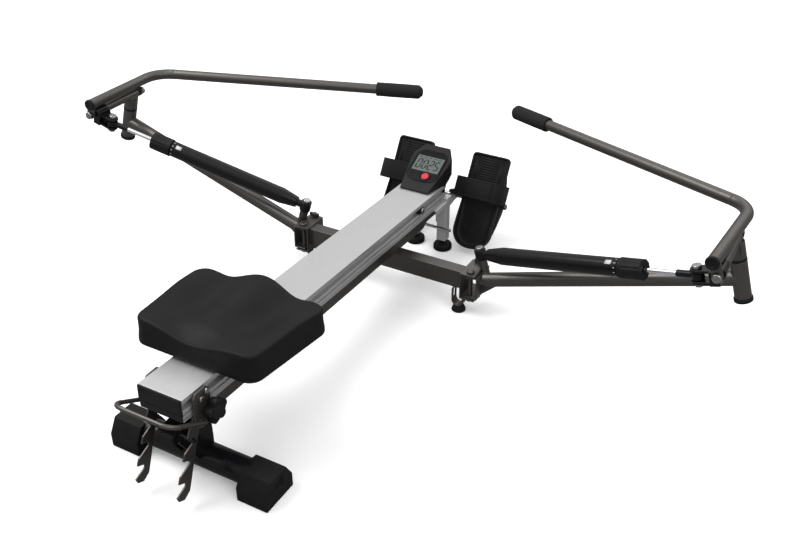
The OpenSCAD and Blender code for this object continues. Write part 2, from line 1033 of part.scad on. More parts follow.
module outrigger(side) {
    x_out = cross_half + channel_depth + channel_wall + channel_gap;
    u_in = (x_out - channel_wall / 2) / cos(arm_tilt) + tube_w0 * tan(arm_tilt);
    inner = [u_in, tube_y_in, tube_w0];
    outer = [swivel_u, tube_y_out, tube_w0];
    color(steel) {
        on(side) arm_bracket();
        difference() {
            arm_frame(side) {
                tube_between(inner + [arm_start_overlap, 0, 0], outer, arm_dia / 2);
                translate([swivel_u, tube_y_out, sleeve_w0]) cylinder(h = sleeve_h, d = sleeve_dia);
                translate([pivot_u, pivot_y, tube_w0])
                    cylinder(h = pivot_w - eye_h / 2 - 0.5 - tube_w0, d = stub_dia);
            }
            arm_frame(side) {
                tube_between(inner - [bore_reach, 0, 0], outer - [sleeve_dia, 0, 0], arm_dia / 2 - tube_wall);
                arm_bore();
            }
            on(side) block(
                [cross_half, channel_rear_y, channel_low_z],
                [x_out - channel_wall, channel_front_y, channel_top_z + channel_gap]
            );
        }
        on(side) arm_gusset(x_out);
    }
}

module arm_gusset(x_out) {
    z = (tube_w0 + x_out * sin(arm_tilt)) / cos(arm_tilt);
    translate([0, tube_y_in + gusset_t / 2, 0])
        rotate([90, 0, 0]) linear_extrude(gusset_t) polygon([
            [x_out - channel_wall / 2, arm_low_z],
            [x_out - channel_wall / 2, z - arm_dia / 2],
            [x_out + arm_dia, z + arm_dia * tan(arm_tilt) - arm_dia / 2],
            [x_out + arm_dia, z + arm_dia * tan(arm_tilt) - arm_dia / 2 - gusset_lip]
        ]);
}

module outrigger_left() {
    outrigger(left);
}

module outrigger_right() {
    outrigger(right);
}

module sleeve_ends(side) {
    color(black) arm_frame(side) translate([swivel_u, tube_y_out, sleeve_w0]) {
        translate([0, 0, -sleeve_cap_h]) cylinder(h = sleeve_cap_h, d = sleeve_cap_dia);
        translate([0, 0, sleeve_h]) difference() {
            cylinder(h = bush_h, d = sleeve_dia + 1);
            translate([0, 0, -cut]) cylinder(h = bush_h + 2 * cut, d = spindle_dia + 2 * fit);
        }
    }
}

module sleeve_ends_left() {
    sleeve_ends(left);
}

module sleeve_ends_right() {
    sleeve_ends(right);
}

module pivot_bolt(side) {
    low = pivot_w - eye_h / 2 - 0.5;
    head_h = 6;
    head_dia = 18;
    color(bolt_steel) arm_frame(side) translate([pivot_u, pivot_y, low]) {
        cylinder(h = eye_h + 1, d = pivot_dia);
        translate([0, 0, eye_h + 1]) rounded_end(head_dia / 2, head_h, 2);
    }
}

module pivot_bolt_left() {
    pivot_bolt(left);
}

module pivot_bolt_right() {
    pivot_bolt(right);
}

module lock_pin(side) {
    tail_z = 16;
    wing_w = 24;
    wing_t = 6;
    wing_h = 8;
    head_dia = 12;
    color(steel) on(side) translate([hinge_x, lock_y, 0]) {
        translate([0, 0, tail_z]) cylinder(h = channel_top_z + 2 * cut - tail_z, d = lock_dia);
        translate([0, 0, channel_top_z + cut]) {
            cylinder(h = wing_h, d = head_dia);
            centred([wing_w, wing_t, wing_h]);
        }
    }
}

module lock_pin_left() {
    lock_pin(left);
}

module lock_pin_right() {
    lock_pin(right);
}

// ---------------------------------------------------------------- yokes and knuckles

module yoke(side) {
    top = sleeve_w0 + sleeve_h + bush_h;
    spindle_low = sleeve_w0 + 2;
    color(steel) arm_frame(side) translate([swivel_u, 0, 0]) difference() {
        union() {
            translate([0, tube_y_out, spindle_low]) cylinder(h = bar_w - spindle_low, d = spindle_dia);
            translate([0, tube_y_out, top + 0.5]) cylinder(h = bar_w - top, d = sleeve_dia);
            translate([0, 0, bar_w]) along_y(bar_y0, bar_y1, bar_dia / 2);
        }
        translate([0, 0, bar_w]) along_y(bar_y0 - cut, bar_y1 + cut, bar_bolt_dia / 2);
    }
}

module yoke_left() {
    yoke(left);
}

module yoke_right() {
    yoke(right);
}

module knuckle(side) {
    eye_w = pivot_w + eye_rise;
    low = eye_w - fork_gap / 2 - fork_lug_t;
    high = eye_w + fork_gap / 2;
    back = swivel_u - hub_dia / 2 - 6;
    color(black) arm_frame(side) difference() {
        union() {
            translate([swivel_u, 0, bar_w]) along_y(hub_y0, hub_y1, hub_dia / 2);
            block([back, hub_y0, low], [swivel_u, hub_y1, high + fork_lug_t]);
            for (w = [low, high]) {
                translate([knuckle_at.x, knuckle_at.y, w]) cylinder(h = fork_lug_t, r = fork_r);
                block(
                    [knuckle_at.x, knuckle_at.y - fork_r, w],
                    [back, knuckle_at.y + fork_r, w + fork_lug_t]
                );
            }
        }
        translate([swivel_u, 0, bar_w]) along_y(hub_y0 - cut, hub_y1 + cut, bar_bolt_dia / 2);
    }
}

module knuckle_left() {
    knuckle(left);
}

module knuckle_right() {
    knuckle(right);
}

module yoke_bolts(side) {
    head_dia = 18;
    head_h = 7;
    eye_w = pivot_w + eye_rise;
    bolt_from = near_tab_y - 1;
    bolt_to = far_tab_y + tab_t + 1;
    color(bolt_steel) arm_frame(side) {
        translate([swivel_u, 0, bar_w]) {
            along_y(bolt_from, bolt_to, bar_bolt_dia / 2);
            translate([0, bolt_from, 0]) rotate([90, 0, 0]) rounded_end(head_dia / 2, head_h, 3);
            translate([0, bolt_to, 0]) rotate([-90, 0, 0]) rounded_end(head_dia / 2, head_h * 2, 6);
        }
        translate([knuckle_at.x, knuckle_at.y, eye_w + fork_gap / 2 + fork_lug_t])
            rounded_end(head_dia / 2, head_h, 2);
        translate([knuckle_at.x, knuckle_at.y, eye_w - fork_gap / 2 - fork_lug_t - head_h])
            hex_head(head_dia, head_h);
    }
}

module yoke_bolts_left() {
    yoke_bolts(left);
}

module yoke_bolts_right() {
    yoke_bolts(right);
}

// ---------------------------------------------------------------- handles

module handle_tab(y) {
    r = tab_w / 2;
    along = (y - handle_plug_at.y) / (handle_corner_at.y - handle_plug_at.y);
    leg_w = handle_plug_at.z + along * (handle_corner_at.z - handle_plug_at.z);
    top_w = leg_w - handle_dia / 2 + tab_sink;
    difference() {
        translate([0, y + tab_t, 0]) rotate([90, 0, 0]) linear_extrude(tab_t) {
            translate([swivel_u, bar_w]) circle(r);
            translate([swivel_u - r, bar_w]) square([tab_w, top_w - bar_w]);
        }
        translate([swivel_u, 0, bar_w]) along_y(y - cut, y + tab_t + cut, bar_bolt_dia / 2 + fit);
    }
}

module handle(side) {
    run = unit(handle_corner_at - handle_plug_at);
    r = handle_dia / 2;
    color(steel) arm_frame(side) {
        bent_tube(handle_plug_at, handle_corner_at, handle_grip_at, bend_r, r, tube_wall);
        difference() {
            union() {
                handle_tab(near_tab_y);
                handle_tab(far_tab_y);
            }
            tube_between(handle_plug_at - run * cut, handle_corner_at, r - tube_wall / 2);
        }
    }
}

module handle_left() {
    handle(left);
}

module handle_right() {
    handle(right);
}

module handle_ends(side) {
    run = unit(handle_corner_at - handle_plug_at);
    reach = unit(handle_grip_at - handle_corner_at);
    tip = 4;
    color(foam_black) arm_frame(side) {
        grip_from = handle_grip_at - reach * (grip_len - tip);
        difference() {
            pointed(grip_from, reach) rounded_end(grip_dia / 2, grip_len, 8);
            tube_between(grip_from - reach * cut, handle_grip_at, handle_dia / 2);
        }
        pointed(handle_plug_at, -run) rounded_end(handle_dia / 2 + 1, plug_len, 3);
        pointed(handle_plug_at, run) cylinder(h = plug_len * 2, r = handle_dia / 2 - tube_wall);
    }
}

module pointed(at, d) {
    translate(at) rotate([0, acos(d.z), atan2(d.y, d.x)]) children();
}

module handle_ends_left() {
    handle_ends(left);
}

module handle_ends_right() {
    handle_ends(right);
}

// ---------------------------------------------------------------- hydraulic cylinders

module cylinder_body(side) {
    color(black) cylinder_frame(side) difference() {
        union() {
            rotate([0, cylinder_rise, 0]) translate([0, 0, -eye_h / 2]) cylinder(h = eye_h, d = eye_dia);
            along_x(eye_dia / 4, nose_from + cut, nose_dia / 2 - 4);
            rotate([0, 90, 0]) rotate_extrude() polygon([
                [0, nose_from],
                [nose_dia / 2, nose_from],
                [barrel_dia / 2, barrel_from],
                [barrel_dia / 2, barrel_to],
                [neck_dia / 2, barrel_to],
                [neck_dia / 2, neck_to],
                [0, neck_to]
            ]);
        }
        rotate([0, cylinder_rise, 0])
            translate([0, 0, -eye_h]) cylinder(h = eye_h * 2, d = pivot_dia + 2 * fit);
        along_x(rod_from - gap, neck_to + cut, rod_dia / 2 + fit);
        along_x(bore_from, bore_to, barrel_dia / 2 - barrel_wall);
    }
}

module cylinder_left() {
    cylinder_body(left);
}

module cylinder_right() {
    cylinder_body(right);
}

module collar(side) {
    flute_r = 3;
    flutes = 12;
    color(foam_black) cylinder_frame(side) difference() {
        along_x(collar_from, collar_from + collar_len, collar_dia / 2);
        along_x(collar_from - cut, neck_to + 0.5, neck_dia / 2 + fit);
        along_x(collar_from - cut, collar_from + collar_len + cut, rod_dia / 2 + 2);
        for (i = [0 : flutes - 1]) {
            rotate([i * 360 / flutes, 0, 0])
                translate([0, 0, collar_dia / 2 + flute_r - 1])
                    along_x(collar_from + 10, collar_from + collar_len + cut, flute_r);
        }
    }
}

module collar_left() {
    collar(left);
}

module collar_right() {
    collar(right);
}

module rod(side) {
    color(chrome) cylinder_frame(side)
        along_x(rod_from, rod_span / cos(cylinder_rise) - rod_eye_dia / 2 - 8, rod_dia / 2);
}

module rod_left() {
    rod(left);
}

module rod_right() {
    rod(right);
}

module rod_end(side) {
    far = rod_span / cos(cylinder_rise);
    color(black) cylinder_frame(side) difference() {
        union() {
            along_x(far - rod_end_len - 8, far - rod_eye_dia / 2 + 3, rod_end_dia / 2);
            translate([far, 0, 0]) rotate([0, cylinder_rise, 0])
                translate([0, 0, -rod_eye_h / 2]) cylinder(h = rod_eye_h, d = rod_eye_dia);
        }
        along_x(0, far - rod_eye_dia / 2 - 8, rod_dia / 2);
    }
}

module rod_end_left() {
    rod_end(left);
}

module rod_end_right() {
    rod_end(right);
}

// ---------------------------------------------------------------- rear foot and height latch

module rear_side_plates() {
    color(steel) whole() both() side_profile(side_plate_x, side_plate_x + side_plate_t) difference() {
        polygon([
            [side_rear_y, side_low_z + side_step],
            [side_rear_y, side_high_z - side_step],
            [side_rear_y + side_step, side_high_z],
            [side_front_y - side_step, side_high_z],
            [side_front_y, side_high_z - side_step],
            [side_front_y, side_low_z],
            [side_rear_y + 2 * side_step, side_low_z]
        ]);
        translate([latch_y, latch_z]) circle(d = wire_dia + 2 * fit);
    }
    color(steel) whole() both() block(
        [spine_w / 2, side_rear_y + 3 * side_step, side_low_z],
        [side_plate_x, side_front_y - side_step, side_low_z + side_plate_t]
    );
}

module frame_bolts() {
    head_dia = 14;
    head_h = 4;
    color(bolt_steel) whole() both() {
        for (at = side_bolts) {
            translate([side_plate_x + side_plate_t, at[0], at[1]])
                rotate([0, 90, 0]) rounded_end(side_bolt_dia / 2, head_h, 2);
        }
    }
    color(bolt_steel) rail_frame() both()
        translate([rail_w / 2 + 2, stop_y, -track_drop - track_h / 2])
            rotate([0, 90, 0]) rounded_end(head_dia / 2, head_h, 2);
    color(bolt_steel) whole() translate([0, leg_pivot_y, leg_pivot_z]) {
        along_x(-spine_w / 2 - 7, spine_w / 2 + 7, pin_dia / 2);
        both() translate([spine_w / 2, 0, 0]) rotate([0, 90, 0]) hex_head(head_dia, head_h * 1.5);
    }
}

module rear_leg() {
    color(black) whole() {
        difference() {
            union() {
                translate([0, leg_pivot_y, leg_pivot_z]) rotate([-neck_lean, 0, 0])
                    block([-neck_w / 2, -neck_reach, -neck_h / 2], [neck_w / 2, neck_h / 2, neck_h / 2]);
                both() side_profile(neck_w / 2, neck_w / 2 + cheek_t) polygon([
                    [leg_pin_y - cheek_back, leg_pin_z],
                    [foot_tube_y + cheek_w, leg_pin_z - cheek_low],
                    [foot_tube_y + cheek_w, foot_tube_z],
                    [foot_tube_y - cheek_w, foot_tube_z],
                    [leg_pin_y - cheek_back, leg_pin_z - cheek_low]
                ]);
            }
            translate([0, leg_pivot_y, leg_pivot_z]) {
                along_x(-neck_w, neck_w, pin_dia / 2 + fit);
                rotate([-neck_lean, 0, 0]) block(
                    [-neck_w / 2 + leg_wall, -neck_reach - cut, -neck_h / 2 + leg_wall],
                    [neck_w / 2 - leg_wall, -neck_h, neck_h / 2 - leg_wall]
                );
            }
            translate([0, foot_tube_y, foot_tube_z])
                along_x(-foot_tube_half, foot_tube_half, foot_tube_dia / 2);
        }
        translate([0, leg_pin_y, leg_pin_z]) rotate([seam_turn, 0, 0])
            along_x(-latch_x - latch_t * 2, latch_x + latch_t * 2, pin_dia / 2);
    }
}

module rear_foot_tube() {
    color(steel) whole() translate([0, foot_tube_y, foot_tube_z]) difference() {
        along_x(-foot_tube_half, foot_tube_half, foot_tube_dia / 2);
        along_x(-foot_tube_half - cut, foot_tube_half + cut, foot_tube_dia / 2 - leg_wall);
    }
}

module rear_foot_caps() {
    color(rubber_black) whole() {
        both() difference() {
            side_profile(end_cap_x0, end_cap_x1) polygon([
                [foot_tube_y - end_cap_low / 2, 0],
                [foot_tube_y - end_cap_low / 2, end_cap_h / 2],
                [foot_tube_y - end_cap_top / 2, end_cap_h],
                [foot_tube_y + end_cap_top / 2, end_cap_h],
                [foot_tube_y + end_cap_low / 2, end_cap_h / 2],
                [foot_tube_y + end_cap_low / 2, 0]
            ]);
            translate([0, foot_tube_y, foot_tube_z]) along_x(0, foot_tube_half, foot_tube_dia / 2);
            block(
                [end_cap_x1 - cap_slot_deep, foot_tube_y - cap_slot_w / 2, cap_slot_z],
                [end_cap_x1 + cut, foot_tube_y + cap_slot_w / 2, cap_slot_z + cap_slot_h]
            );
        }
        translate([0, leg_pivot_y, leg_pivot_z]) rotate([-neck_lean, 0, 0])
            block(
                [-neck_w / 2 - gap, -neck_reach - neck_plug_t, -neck_h / 2 - gap],
                [neck_w / 2 + gap, -neck_reach, neck_h / 2 + gap]
            );
    }
}

module latch_slot(drop) {
    r = pin_dia / 2 + gap;
    reach = latch_w * 2;
    translate([0, -drop]) {
        circle(r);
        polygon([
            [0, r],
            [-reach, r],
            [r * sin(latch_flare) - reach, -r * cos(latch_flare) - reach * tan(latch_flare)],
            [r * sin(latch_flare), -r * cos(latch_flare)]
        ]);
    }
}

module latch_plate() {
    half = latch_w / 2;
    translate([latch_x - latch_t / 2, latch_y, latch_z])
        rotate([-latch_lean, 0, 0]) side_profile(0, latch_t) difference() {
            union() {
                circle(half);
                polygon([
                    [-half, 0],
                    [half, 0],
                    [latch_foot, -latch_len + latch_tooth],
                    [half, -latch_len],
                    [-half / 2, -latch_len],
                    [-latch_tooth, -latch_len + half],
                    [-latch_tooth, -half * 2]
                ]);
            }
            for (i = [0 : 2]) latch_slot(latch_first + i * latch_step);
        }
}

module height_latch() {
    color(steel) whole() {
        translate([0, latch_y, latch_z]) along_x(-wire_half, wire_half, wire_dia / 2);
        both() {
            latch_plate();
            bent_tube(
                [wire_half, latch_y, latch_z],
                [wire_half, latch_y - wire_back, latch_z + wire_up],
                [0, latch_y - wire_back, latch_z + wire_up],
                wire_bend, wire_dia / 2, wire_dia
            );
            translate([wire_half, latch_y, latch_z]) sphere(d = wire_dia + 2 * weld);
        }
    }
}

module star_knob() {
    lobes = 5;
    lobe_dia = 17;
    knob_w = 16;
    stem = 3;
    stem_r = 9;
    x0 = side_plate_x + side_plate_t + gap;
    color(black) whole() translate([x0, knob_y, knob_z]) {
        along_x(0, stem + cut, stem_r);
        translate([stem, 0, 0]) {
            along_x(0, knob_w + cut, knob_dia / 2 - lobe_dia / 2 + cut);
            for (i = [0 : lobes - 1]) {
                rotate([i * 360 / lobes, 0, 0])
                    translate([0, 0, knob_dia / 2 - lobe_dia / 2]) along_x(cut, knob_w, lobe_dia / 2);
            }
        }
    }
}

rail();
rail_end_caps();
spine_tube();
cross_tube();
hinge_bolts();
end_foot_pads();
front_posts();
front_bracket();
stop_rod();
footplate_axle();
monitor_housing();
monitor_bezel();
lcd_screen();
seat_stops();
rear_side_plates();
frame_bolts();
front_foot_left();
front_foot_right();
monitor_button();
seat_pad();
seat_pan();
seat_carriage();
front_rollers();
rear_rollers();
footplate_left();
footplate_right();
foot_strap_left();
foot_strap_right();
outrigger_left();
outrigger_right();
sleeve_ends_left();
sleeve_ends_right();
pivot_bolt_left();
pivot_bolt_right();
lock_pin_left();
lock_pin_right();
yoke_left();
yoke_right();
knuckle_left();
knuckle_right();
yoke_bolts_left();
yoke_bolts_right();
handle_left();
handle_right();
handle_ends_left();
handle_ends_right();
cylinder_left();
cylinder_right();
collar_left();
collar_right();
rod_left();
rod_right();
rod_end_left();
rod_end_right();
rear_leg();
rear_foot_tube();
rear_foot_caps();
height_latch();
star_knob();
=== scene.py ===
"""The looks of the folding sculling rower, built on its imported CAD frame.

Shapes are worked out in millimetres in the frames that the CAD uses (the sloping rail, each outrigger,
each cylinder, each footplate and the display's face) and turned into metres when a mesh is made.
Materials and the studio are set in metres.
"""
import math

import bpy
from mathutils import Matrix, Vector


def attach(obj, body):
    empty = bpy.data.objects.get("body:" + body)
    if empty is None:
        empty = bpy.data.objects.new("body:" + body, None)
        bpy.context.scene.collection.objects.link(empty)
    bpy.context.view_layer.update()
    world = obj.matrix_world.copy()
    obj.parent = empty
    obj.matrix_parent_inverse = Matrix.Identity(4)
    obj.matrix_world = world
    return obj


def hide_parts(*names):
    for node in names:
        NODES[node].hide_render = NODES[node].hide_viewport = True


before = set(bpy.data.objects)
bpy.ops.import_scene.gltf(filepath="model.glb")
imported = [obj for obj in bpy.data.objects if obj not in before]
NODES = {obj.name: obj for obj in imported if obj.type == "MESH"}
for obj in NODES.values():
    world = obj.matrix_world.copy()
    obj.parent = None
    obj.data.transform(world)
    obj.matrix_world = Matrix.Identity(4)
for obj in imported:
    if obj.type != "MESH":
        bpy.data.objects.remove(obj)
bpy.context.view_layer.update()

MM = 0.001
LEFT, RIGHT = -1, 1
SIDES = {LEFT: "left", RIGHT: "right"}

# ------------------------------------------------ places shared with the CAD, in mm and degrees

Y_SHIFT = 175.65
RAIL_TOP_Z, RAIL_SLOPE = 192.0, 2.2
ARM_TILT = 17.0
PIVOT = (262.0, 30.0, 70.0)
KNUCKLE = (764.0, -80.0)
CYLINDER_RISE = 1.0
AXLE_Y, AXLE_Z, AXLE_R, PLATE_ANGLE = 327.0, 100.0, 5.0, 59.0
MONITOR_Y, MONITOR_Z, MONITOR_LIP, MONITOR_ANGLE = 146.0, 187.0, 4.0, 26.0
SEAT_Y, SEAT_LOW, SEAT_THICK = -552.0, 15.0, 48.0


def move(x, y, z):
    return Matrix.Translation((x, y, z))


def turn(degrees, axis):
    return Matrix.Rotation(math.radians(degrees), 4, axis)


METRES = Matrix.Scale(MM, 4)
WHOLE = METRES @ move(0, Y_SHIFT, 0)
RAIL = WHOLE @ move(0, 0, RAIL_TOP_Z) @ turn(-RAIL_SLOPE, "X")
SEAT = RAIL @ move(0, SEAT_Y, 0)
ARM = WHOLE @ turn(-ARM_TILT, "Y")
CYLINDER = (
    ARM
    @ move(*PIVOT)
    @ turn(math.degrees(math.atan2(KNUCKLE[1] - PIVOT[1], KNUCKLE[0] - PIVOT[0])), "Z")
    @ turn(-CYLINDER_RISE, "Y")
)
PLATE = WHOLE @ move(0, AXLE_Y, AXLE_Z) @ turn(PLATE_ANGLE, "X")
DISPLAY = WHOLE @ move(0, MONITOR_Y, MONITOR_Z + MONITOR_LIP) @ turn(MONITOR_ANGLE, "X")


def on(side, place):
    """The same place on the left or the right half of the machine."""
    return Matrix.Scale(-1, 4, (1, 0, 0)) @ place if side == LEFT else place


# ------------------------------------------------ materials


class Finish:
    """A node material whose detail is set in metres, on coordinates that stay with the object.

    Its first values are the base colour, the roughness and the metallic share; other sockets go by name.
    """

    WAVE_PER_METRE = 0.314

    def __init__(self, name, colour, roughness, metallic=0.0, **sockets):
        self.material = bpy.data.materials.new(name)
        self.material.use_nodes = True
        self.tree = self.material.node_tree
        self.shader = self.tree.nodes["Principled BSDF"]
        self.colour = colour
        self.shader.inputs["Base Color"].default_value = (*colour, 1.0)
        self.shader.inputs["Roughness"].default_value = roughness
        self.shader.inputs["Metallic"].default_value = metallic
        for socket, value in sockets.items():
            self.shader.inputs[socket.replace("_", " ")].default_value = value
        self.place = self.add("ShaderNodeTexCoord").outputs["Object"]
        self.height = None

    def add(self, kind, **values):
        node = self.tree.nodes.new(kind)
        for key, value in values.items():
            setattr(node, key, value)
        return node

    def link(self, source, target):
        self.tree.links.new(source, target)

    def stretched(self, scale):
        mapping = self.add("ShaderNodeMapping")
        mapping.inputs["Scale"].default_value = scale
        self.link(self.place, mapping.inputs["Vector"])
        return mapping.outputs["Vector"]

    def noise(self, size, detail=2.0, along=(1, 1, 1)):
        """Noise whose blobs are about size metres across, longer where along is under 1."""
        node = self.add("ShaderNodeTexNoise")
        node.inputs["Scale"].default_value = 1.0
        node.inputs["Detail"].default_value = detail
        self.link(self.stretched([a / size for a in along]), node.inputs["Vector"])
        return node.outputs["Fac"]

    def cells(self, size):
        """Distance from the middles of grains about size metres across."""
        node = self.add("ShaderNodeTexVoronoi")
        node.inputs["Scale"].default_value = 1.0
        self.link(self.stretched([1 / size] * 3), node.inputs["Vector"])
        return node.outputs["Distance"]

    def bands(self, pitch, axis):
        """Stripes one after another along an axis, a pitch in metres apart."""
        node = self.add("ShaderNodeTexWave", wave_type="BANDS", bands_direction=axis)
        node.inputs["Scale"].default_value = 1.0
        node.inputs["Distortion"].default_value = 0.0
        self.link(self.stretched([self.WAVE_PER_METRE / pitch] * 3), node.inputs["Vector"])
        return node.outputs["Fac"]

    def ranged(self, source, low, high, from_low=0.3, from_high=0.7):
        """Spreads the middle of a noise over low to high."""
        node = self.add("ShaderNodeMapRange")
        node.inputs["From Min"].default_value = from_low
        node.inputs["From Max"].default_value = from_high
        node.inputs["To Min"].default_value = low
        node.inputs["To Max"].default_value = high
        self.link(source, node.inputs["Value"])
        return node.outputs["Result"]

    def product(self, a, b):
        """One pattern times another."""
        node = self.add("ShaderNodeMath", operation="MULTIPLY")
        self.link(a, node.inputs[0])
        self.link(b, node.inputs[1])
        return node.outputs["Value"]

    def tinted(self, source, other):
        """The colour goes from the finish's own to another as the source goes from 0 to 1."""
        mix = self.add("ShaderNodeMix", data_type="RGBA")
        mix.inputs["A"].default_value = (*self.colour, 1.0)
        mix.inputs["B"].default_value = (*other, 1.0)
        self.link(source, mix.inputs["Factor"])
        self.link(mix.outputs["Result"], self.shader.inputs["Base Color"])
        return self

    def rough(self, source, low, high):
        self.link(self.ranged(source, low, high), self.shader.inputs["Roughness"])
        return self

    def bumped(self, source, depth, strength=1.0):
        """Relief of about depth metres; each call adds a layer."""
        bump = self.add("ShaderNodeBump")
        bump.inputs["Strength"].default_value = strength
        bump.inputs["Distance"].default_value = depth
        self.link(source, bump.inputs["Height"])
        if self.height:
            self.link(self.height, bump.inputs["Normal"])
        self.height = bump.outputs["Normal"]
        self.link(self.height, self.shader.inputs["Normal"])
        return self


def steel_paint():
    f = Finish("gunmetal_paint", (0.084, 0.078, 0.072), 0.36, 0.8)
    f.tinted(f.ranged(f.noise(0.0009, 3), 0, 1), (0.116, 0.109, 0.102))
    f.rough(f.noise(0.02), 0.34, 0.45)
    return f.bumped(f.noise(0.0011, 3), 0.00004).material


def anodised():
    f = Finish("anodised_aluminium", (0.46, 0.46, 0.466), 0.42, 0.7)
    f.tinted(f.ranged(f.noise(0.0006, 2, (1, 0.004, 1)), 0, 1), (0.52, 0.52, 0.526))
    f.rough(f.noise(0.0008, 2, (1, 0.006, 1)), 0.38, 0.50)
    return f.bumped(f.noise(0.0005, 1, (1, 0.004, 1)), 0.00001).material


def silver_paint():
    f = Finish("silver_paint", (0.50, 0.50, 0.505), 0.38, 0.35)
    f.tinted(f.ranged(f.noise(0.0008, 3), 0, 1), (0.60, 0.60, 0.605))
    return f.bumped(f.noise(0.0010, 3), 0.00003).material


def gloss_paint():
    f = Finish("black_gloss_paint", (0.006, 0.006, 0.007), 0.24, 0.0, Specular_IOR_Level=0.22)
    f.rough(f.noise(0.015), 0.16, 0.27)
    return f.bumped(f.noise(0.0025, 2), 0.00003).material


def zinc():
    f = Finish("bright_zinc", (0.26, 0.26, 0.27), 0.3, 1.0)
    f.tinted(f.ranged(f.noise(0.004, 3), 0, 1), (0.36, 0.36, 0.35))
    f.rough(f.noise(0.002), 0.18, 0.34)
    return f.bumped(f.noise(0.0006), 0.00001).material


def chrome():
    f = Finish("polished_chrome", (0.80, 0.81, 0.83), 0.07, 1.0)
    f.rough(f.noise(0.003, 2), 0.04, 0.10)
    return f.bumped(f.noise(0.0004, 1, (0.02, 1, 1)), 0.000004).material


def black_plastic():
    f = Finish("black_plastic", (0.007, 0.007, 0.008), 0.42, 0.0, Specular_IOR_Level=0.15)
    f.tinted(f.ranged(f.noise(0.03), 0, 1), (0.011, 0.011, 0.012))
    f.rough(f.noise(0.0008), 0.36, 0.50)
    return f.bumped(f.noise(0.0004, 2), 0.00004).material


def gloss_black():
    f = Finish("gloss_black_plastic", (0.004, 0.004, 0.005), 0.2, 0.0, Specular_IOR_Level=0.10)
    f.rough(f.noise(0.01), 0.14, 0.24)
    return f.bumped(f.noise(0.003), 0.00001).material


def rubber():
    f = Finish("black_rubber", (0.007, 0.007, 0.007), 0.62, 0.0, Specular_IOR_Level=0.15)
    f.tinted(f.ranged(f.noise(0.02, 3), 0, 1), (0.010, 0.010, 0.0095))
    f.rough(f.noise(0.002), 0.52, 0.70)
    return f.bumped(f.noise(0.0006, 3), 0.00006).material


def seat_skin():
    f = Finish("moulded_seat_skin", (0.0090, 0.0082, 0.0086), 0.50, 0.0, Specular_IOR_Level=0.10)
    f.tinted(f.ranged(f.noise(0.05, 2), 0, 1), (0.0104, 0.0096, 0.0100))
    f.rough(f.noise(0.012, 3), 0.46, 0.54)
    f.bumped(f.cells(0.0011), 0.00007, 0.6)
    return f.bumped(f.noise(0.0004, 2), 0.00003).material


def foam():
    f = Finish("closed_cell_foam", (0.012, 0.012, 0.013), 0.85, 0.0, Specular_IOR_Level=0.15)
    f.tinted(f.ranged(f.noise(0.0012, 3), 0, 1), (0.023, 0.023, 0.024))
    f.bumped(f.cells(0.0009), 0.00016, 0.8)
    return f.bumped(f.noise(0.004, 2), 0.00020).material


def webbing():
    low_shine = {"Specular_IOR_Level": 0.15, "Sheen_Weight": 0.03}
    f = Finish("woven_webbing", (0.008, 0.008, 0.009), 0.8, 0.0, **low_shine)
    weave = f.product(f.bands(0.0016, "X"), f.bands(0.0012, "Z"))
    f.tinted(weave, (0.018, 0.018, 0.020))
    f.bumped(weave, 0.00025)
    return f.bumped(f.noise(0.0005, 2), 0.00008).material


def display_glass():
    f = Finish("display_face", (0.085, 0.102, 0.095), 0.22, 0.0, Specular_IOR_Level=0.25)
    f.tinted(f.ranged(f.noise(0.012, 1), 0, 1), (0.098, 0.116, 0.108))
    return f.bumped(f.noise(0.02), 0.00001).material


def digits():
    f = Finish("display_digits", (0.008, 0.010, 0.009), 0.3, 0.0, Specular_IOR_Level=0.15)
    f.tinted(f.ranged(f.noise(0.004), 0, 1), (0.013, 0.016, 0.015))
    return f.bumped(f.noise(0.01), 0.00001).material


def red_button():
    f = Finish("red_button_rubber", (0.46, 0.020, 0.040), 0.38, 0.0, Specular_IOR_Level=0.3)
    f.tinted(f.ranged(f.noise(0.006), 0, 1), (0.52, 0.026, 0.048))
    return f.bumped(f.noise(0.0005), 0.00002).material


def white_print():
    f = Finish("white_print", (0.62, 0.62, 0.60), 0.5)
    f.tinted(f.ranged(f.noise(0.001), 0, 1), (0.50, 0.50, 0.49))
    return f.bumped(f.noise(0.0006), 0.00001).material


FLOOR_BOUNCE, FLOOR_GLOW = 0.25, 0.12


def floor_white():
    """White to camera rays, and a dim diffuse to all others so that little light comes back up."""
    f = Finish("studio_floor", (0.95, 0.95, 0.95), 0.9, 0.0, Specular_IOR_Level=0.2)
    f.tinted(f.ranged(f.noise(0.3), 0, 1), (0.96, 0.96, 0.96))
    dim = f.add("ShaderNodeBsdfDiffuse")
    dim.inputs["Color"].default_value = (FLOOR_BOUNCE, FLOOR_BOUNCE, FLOOR_BOUNCE, 1.0)
    glow = f.add("ShaderNodeEmission")
    glow.inputs["Strength"].default_value = FLOOR_GLOW
    seen = f.add("ShaderNodeAddShader")
    f.link(f.shader.outputs["BSDF"], seen.inputs[0])
    f.link(glow.outputs["Emission"], seen.inputs[1])
    choose = f.add("ShaderNodeMixShader")
    f.link(f.add("ShaderNodeLightPath").outputs["Is Camera Ray"], choose.inputs["Fac"])
    f.link(dim.outputs["BSDF"], choose.inputs[1])
    f.link(seen.outputs["Shader"], choose.inputs[2])
    f.link(choose.outputs["Shader"], f.tree.nodes["Material Output"].inputs["Surface"])
    return f.material


GUNMETAL, ALU, SILVER, GLOSS_PAINT = steel_paint(), anodised(), silver_paint(), gloss_paint()
ZINC, CHROME, PLASTIC, GLOSS_BLACK = zinc(), chrome(), black_plastic(), gloss_black()
RUBBER, SKIN, FOAM, WEBBING = rubber(), seat_skin(), foam(), webbing()
GLASS, DIGITS, RED, PRINT = display_glass(), digits(), red_button(), white_print()

# ------------------------------------------------ CAD nodes: materials and soft edges

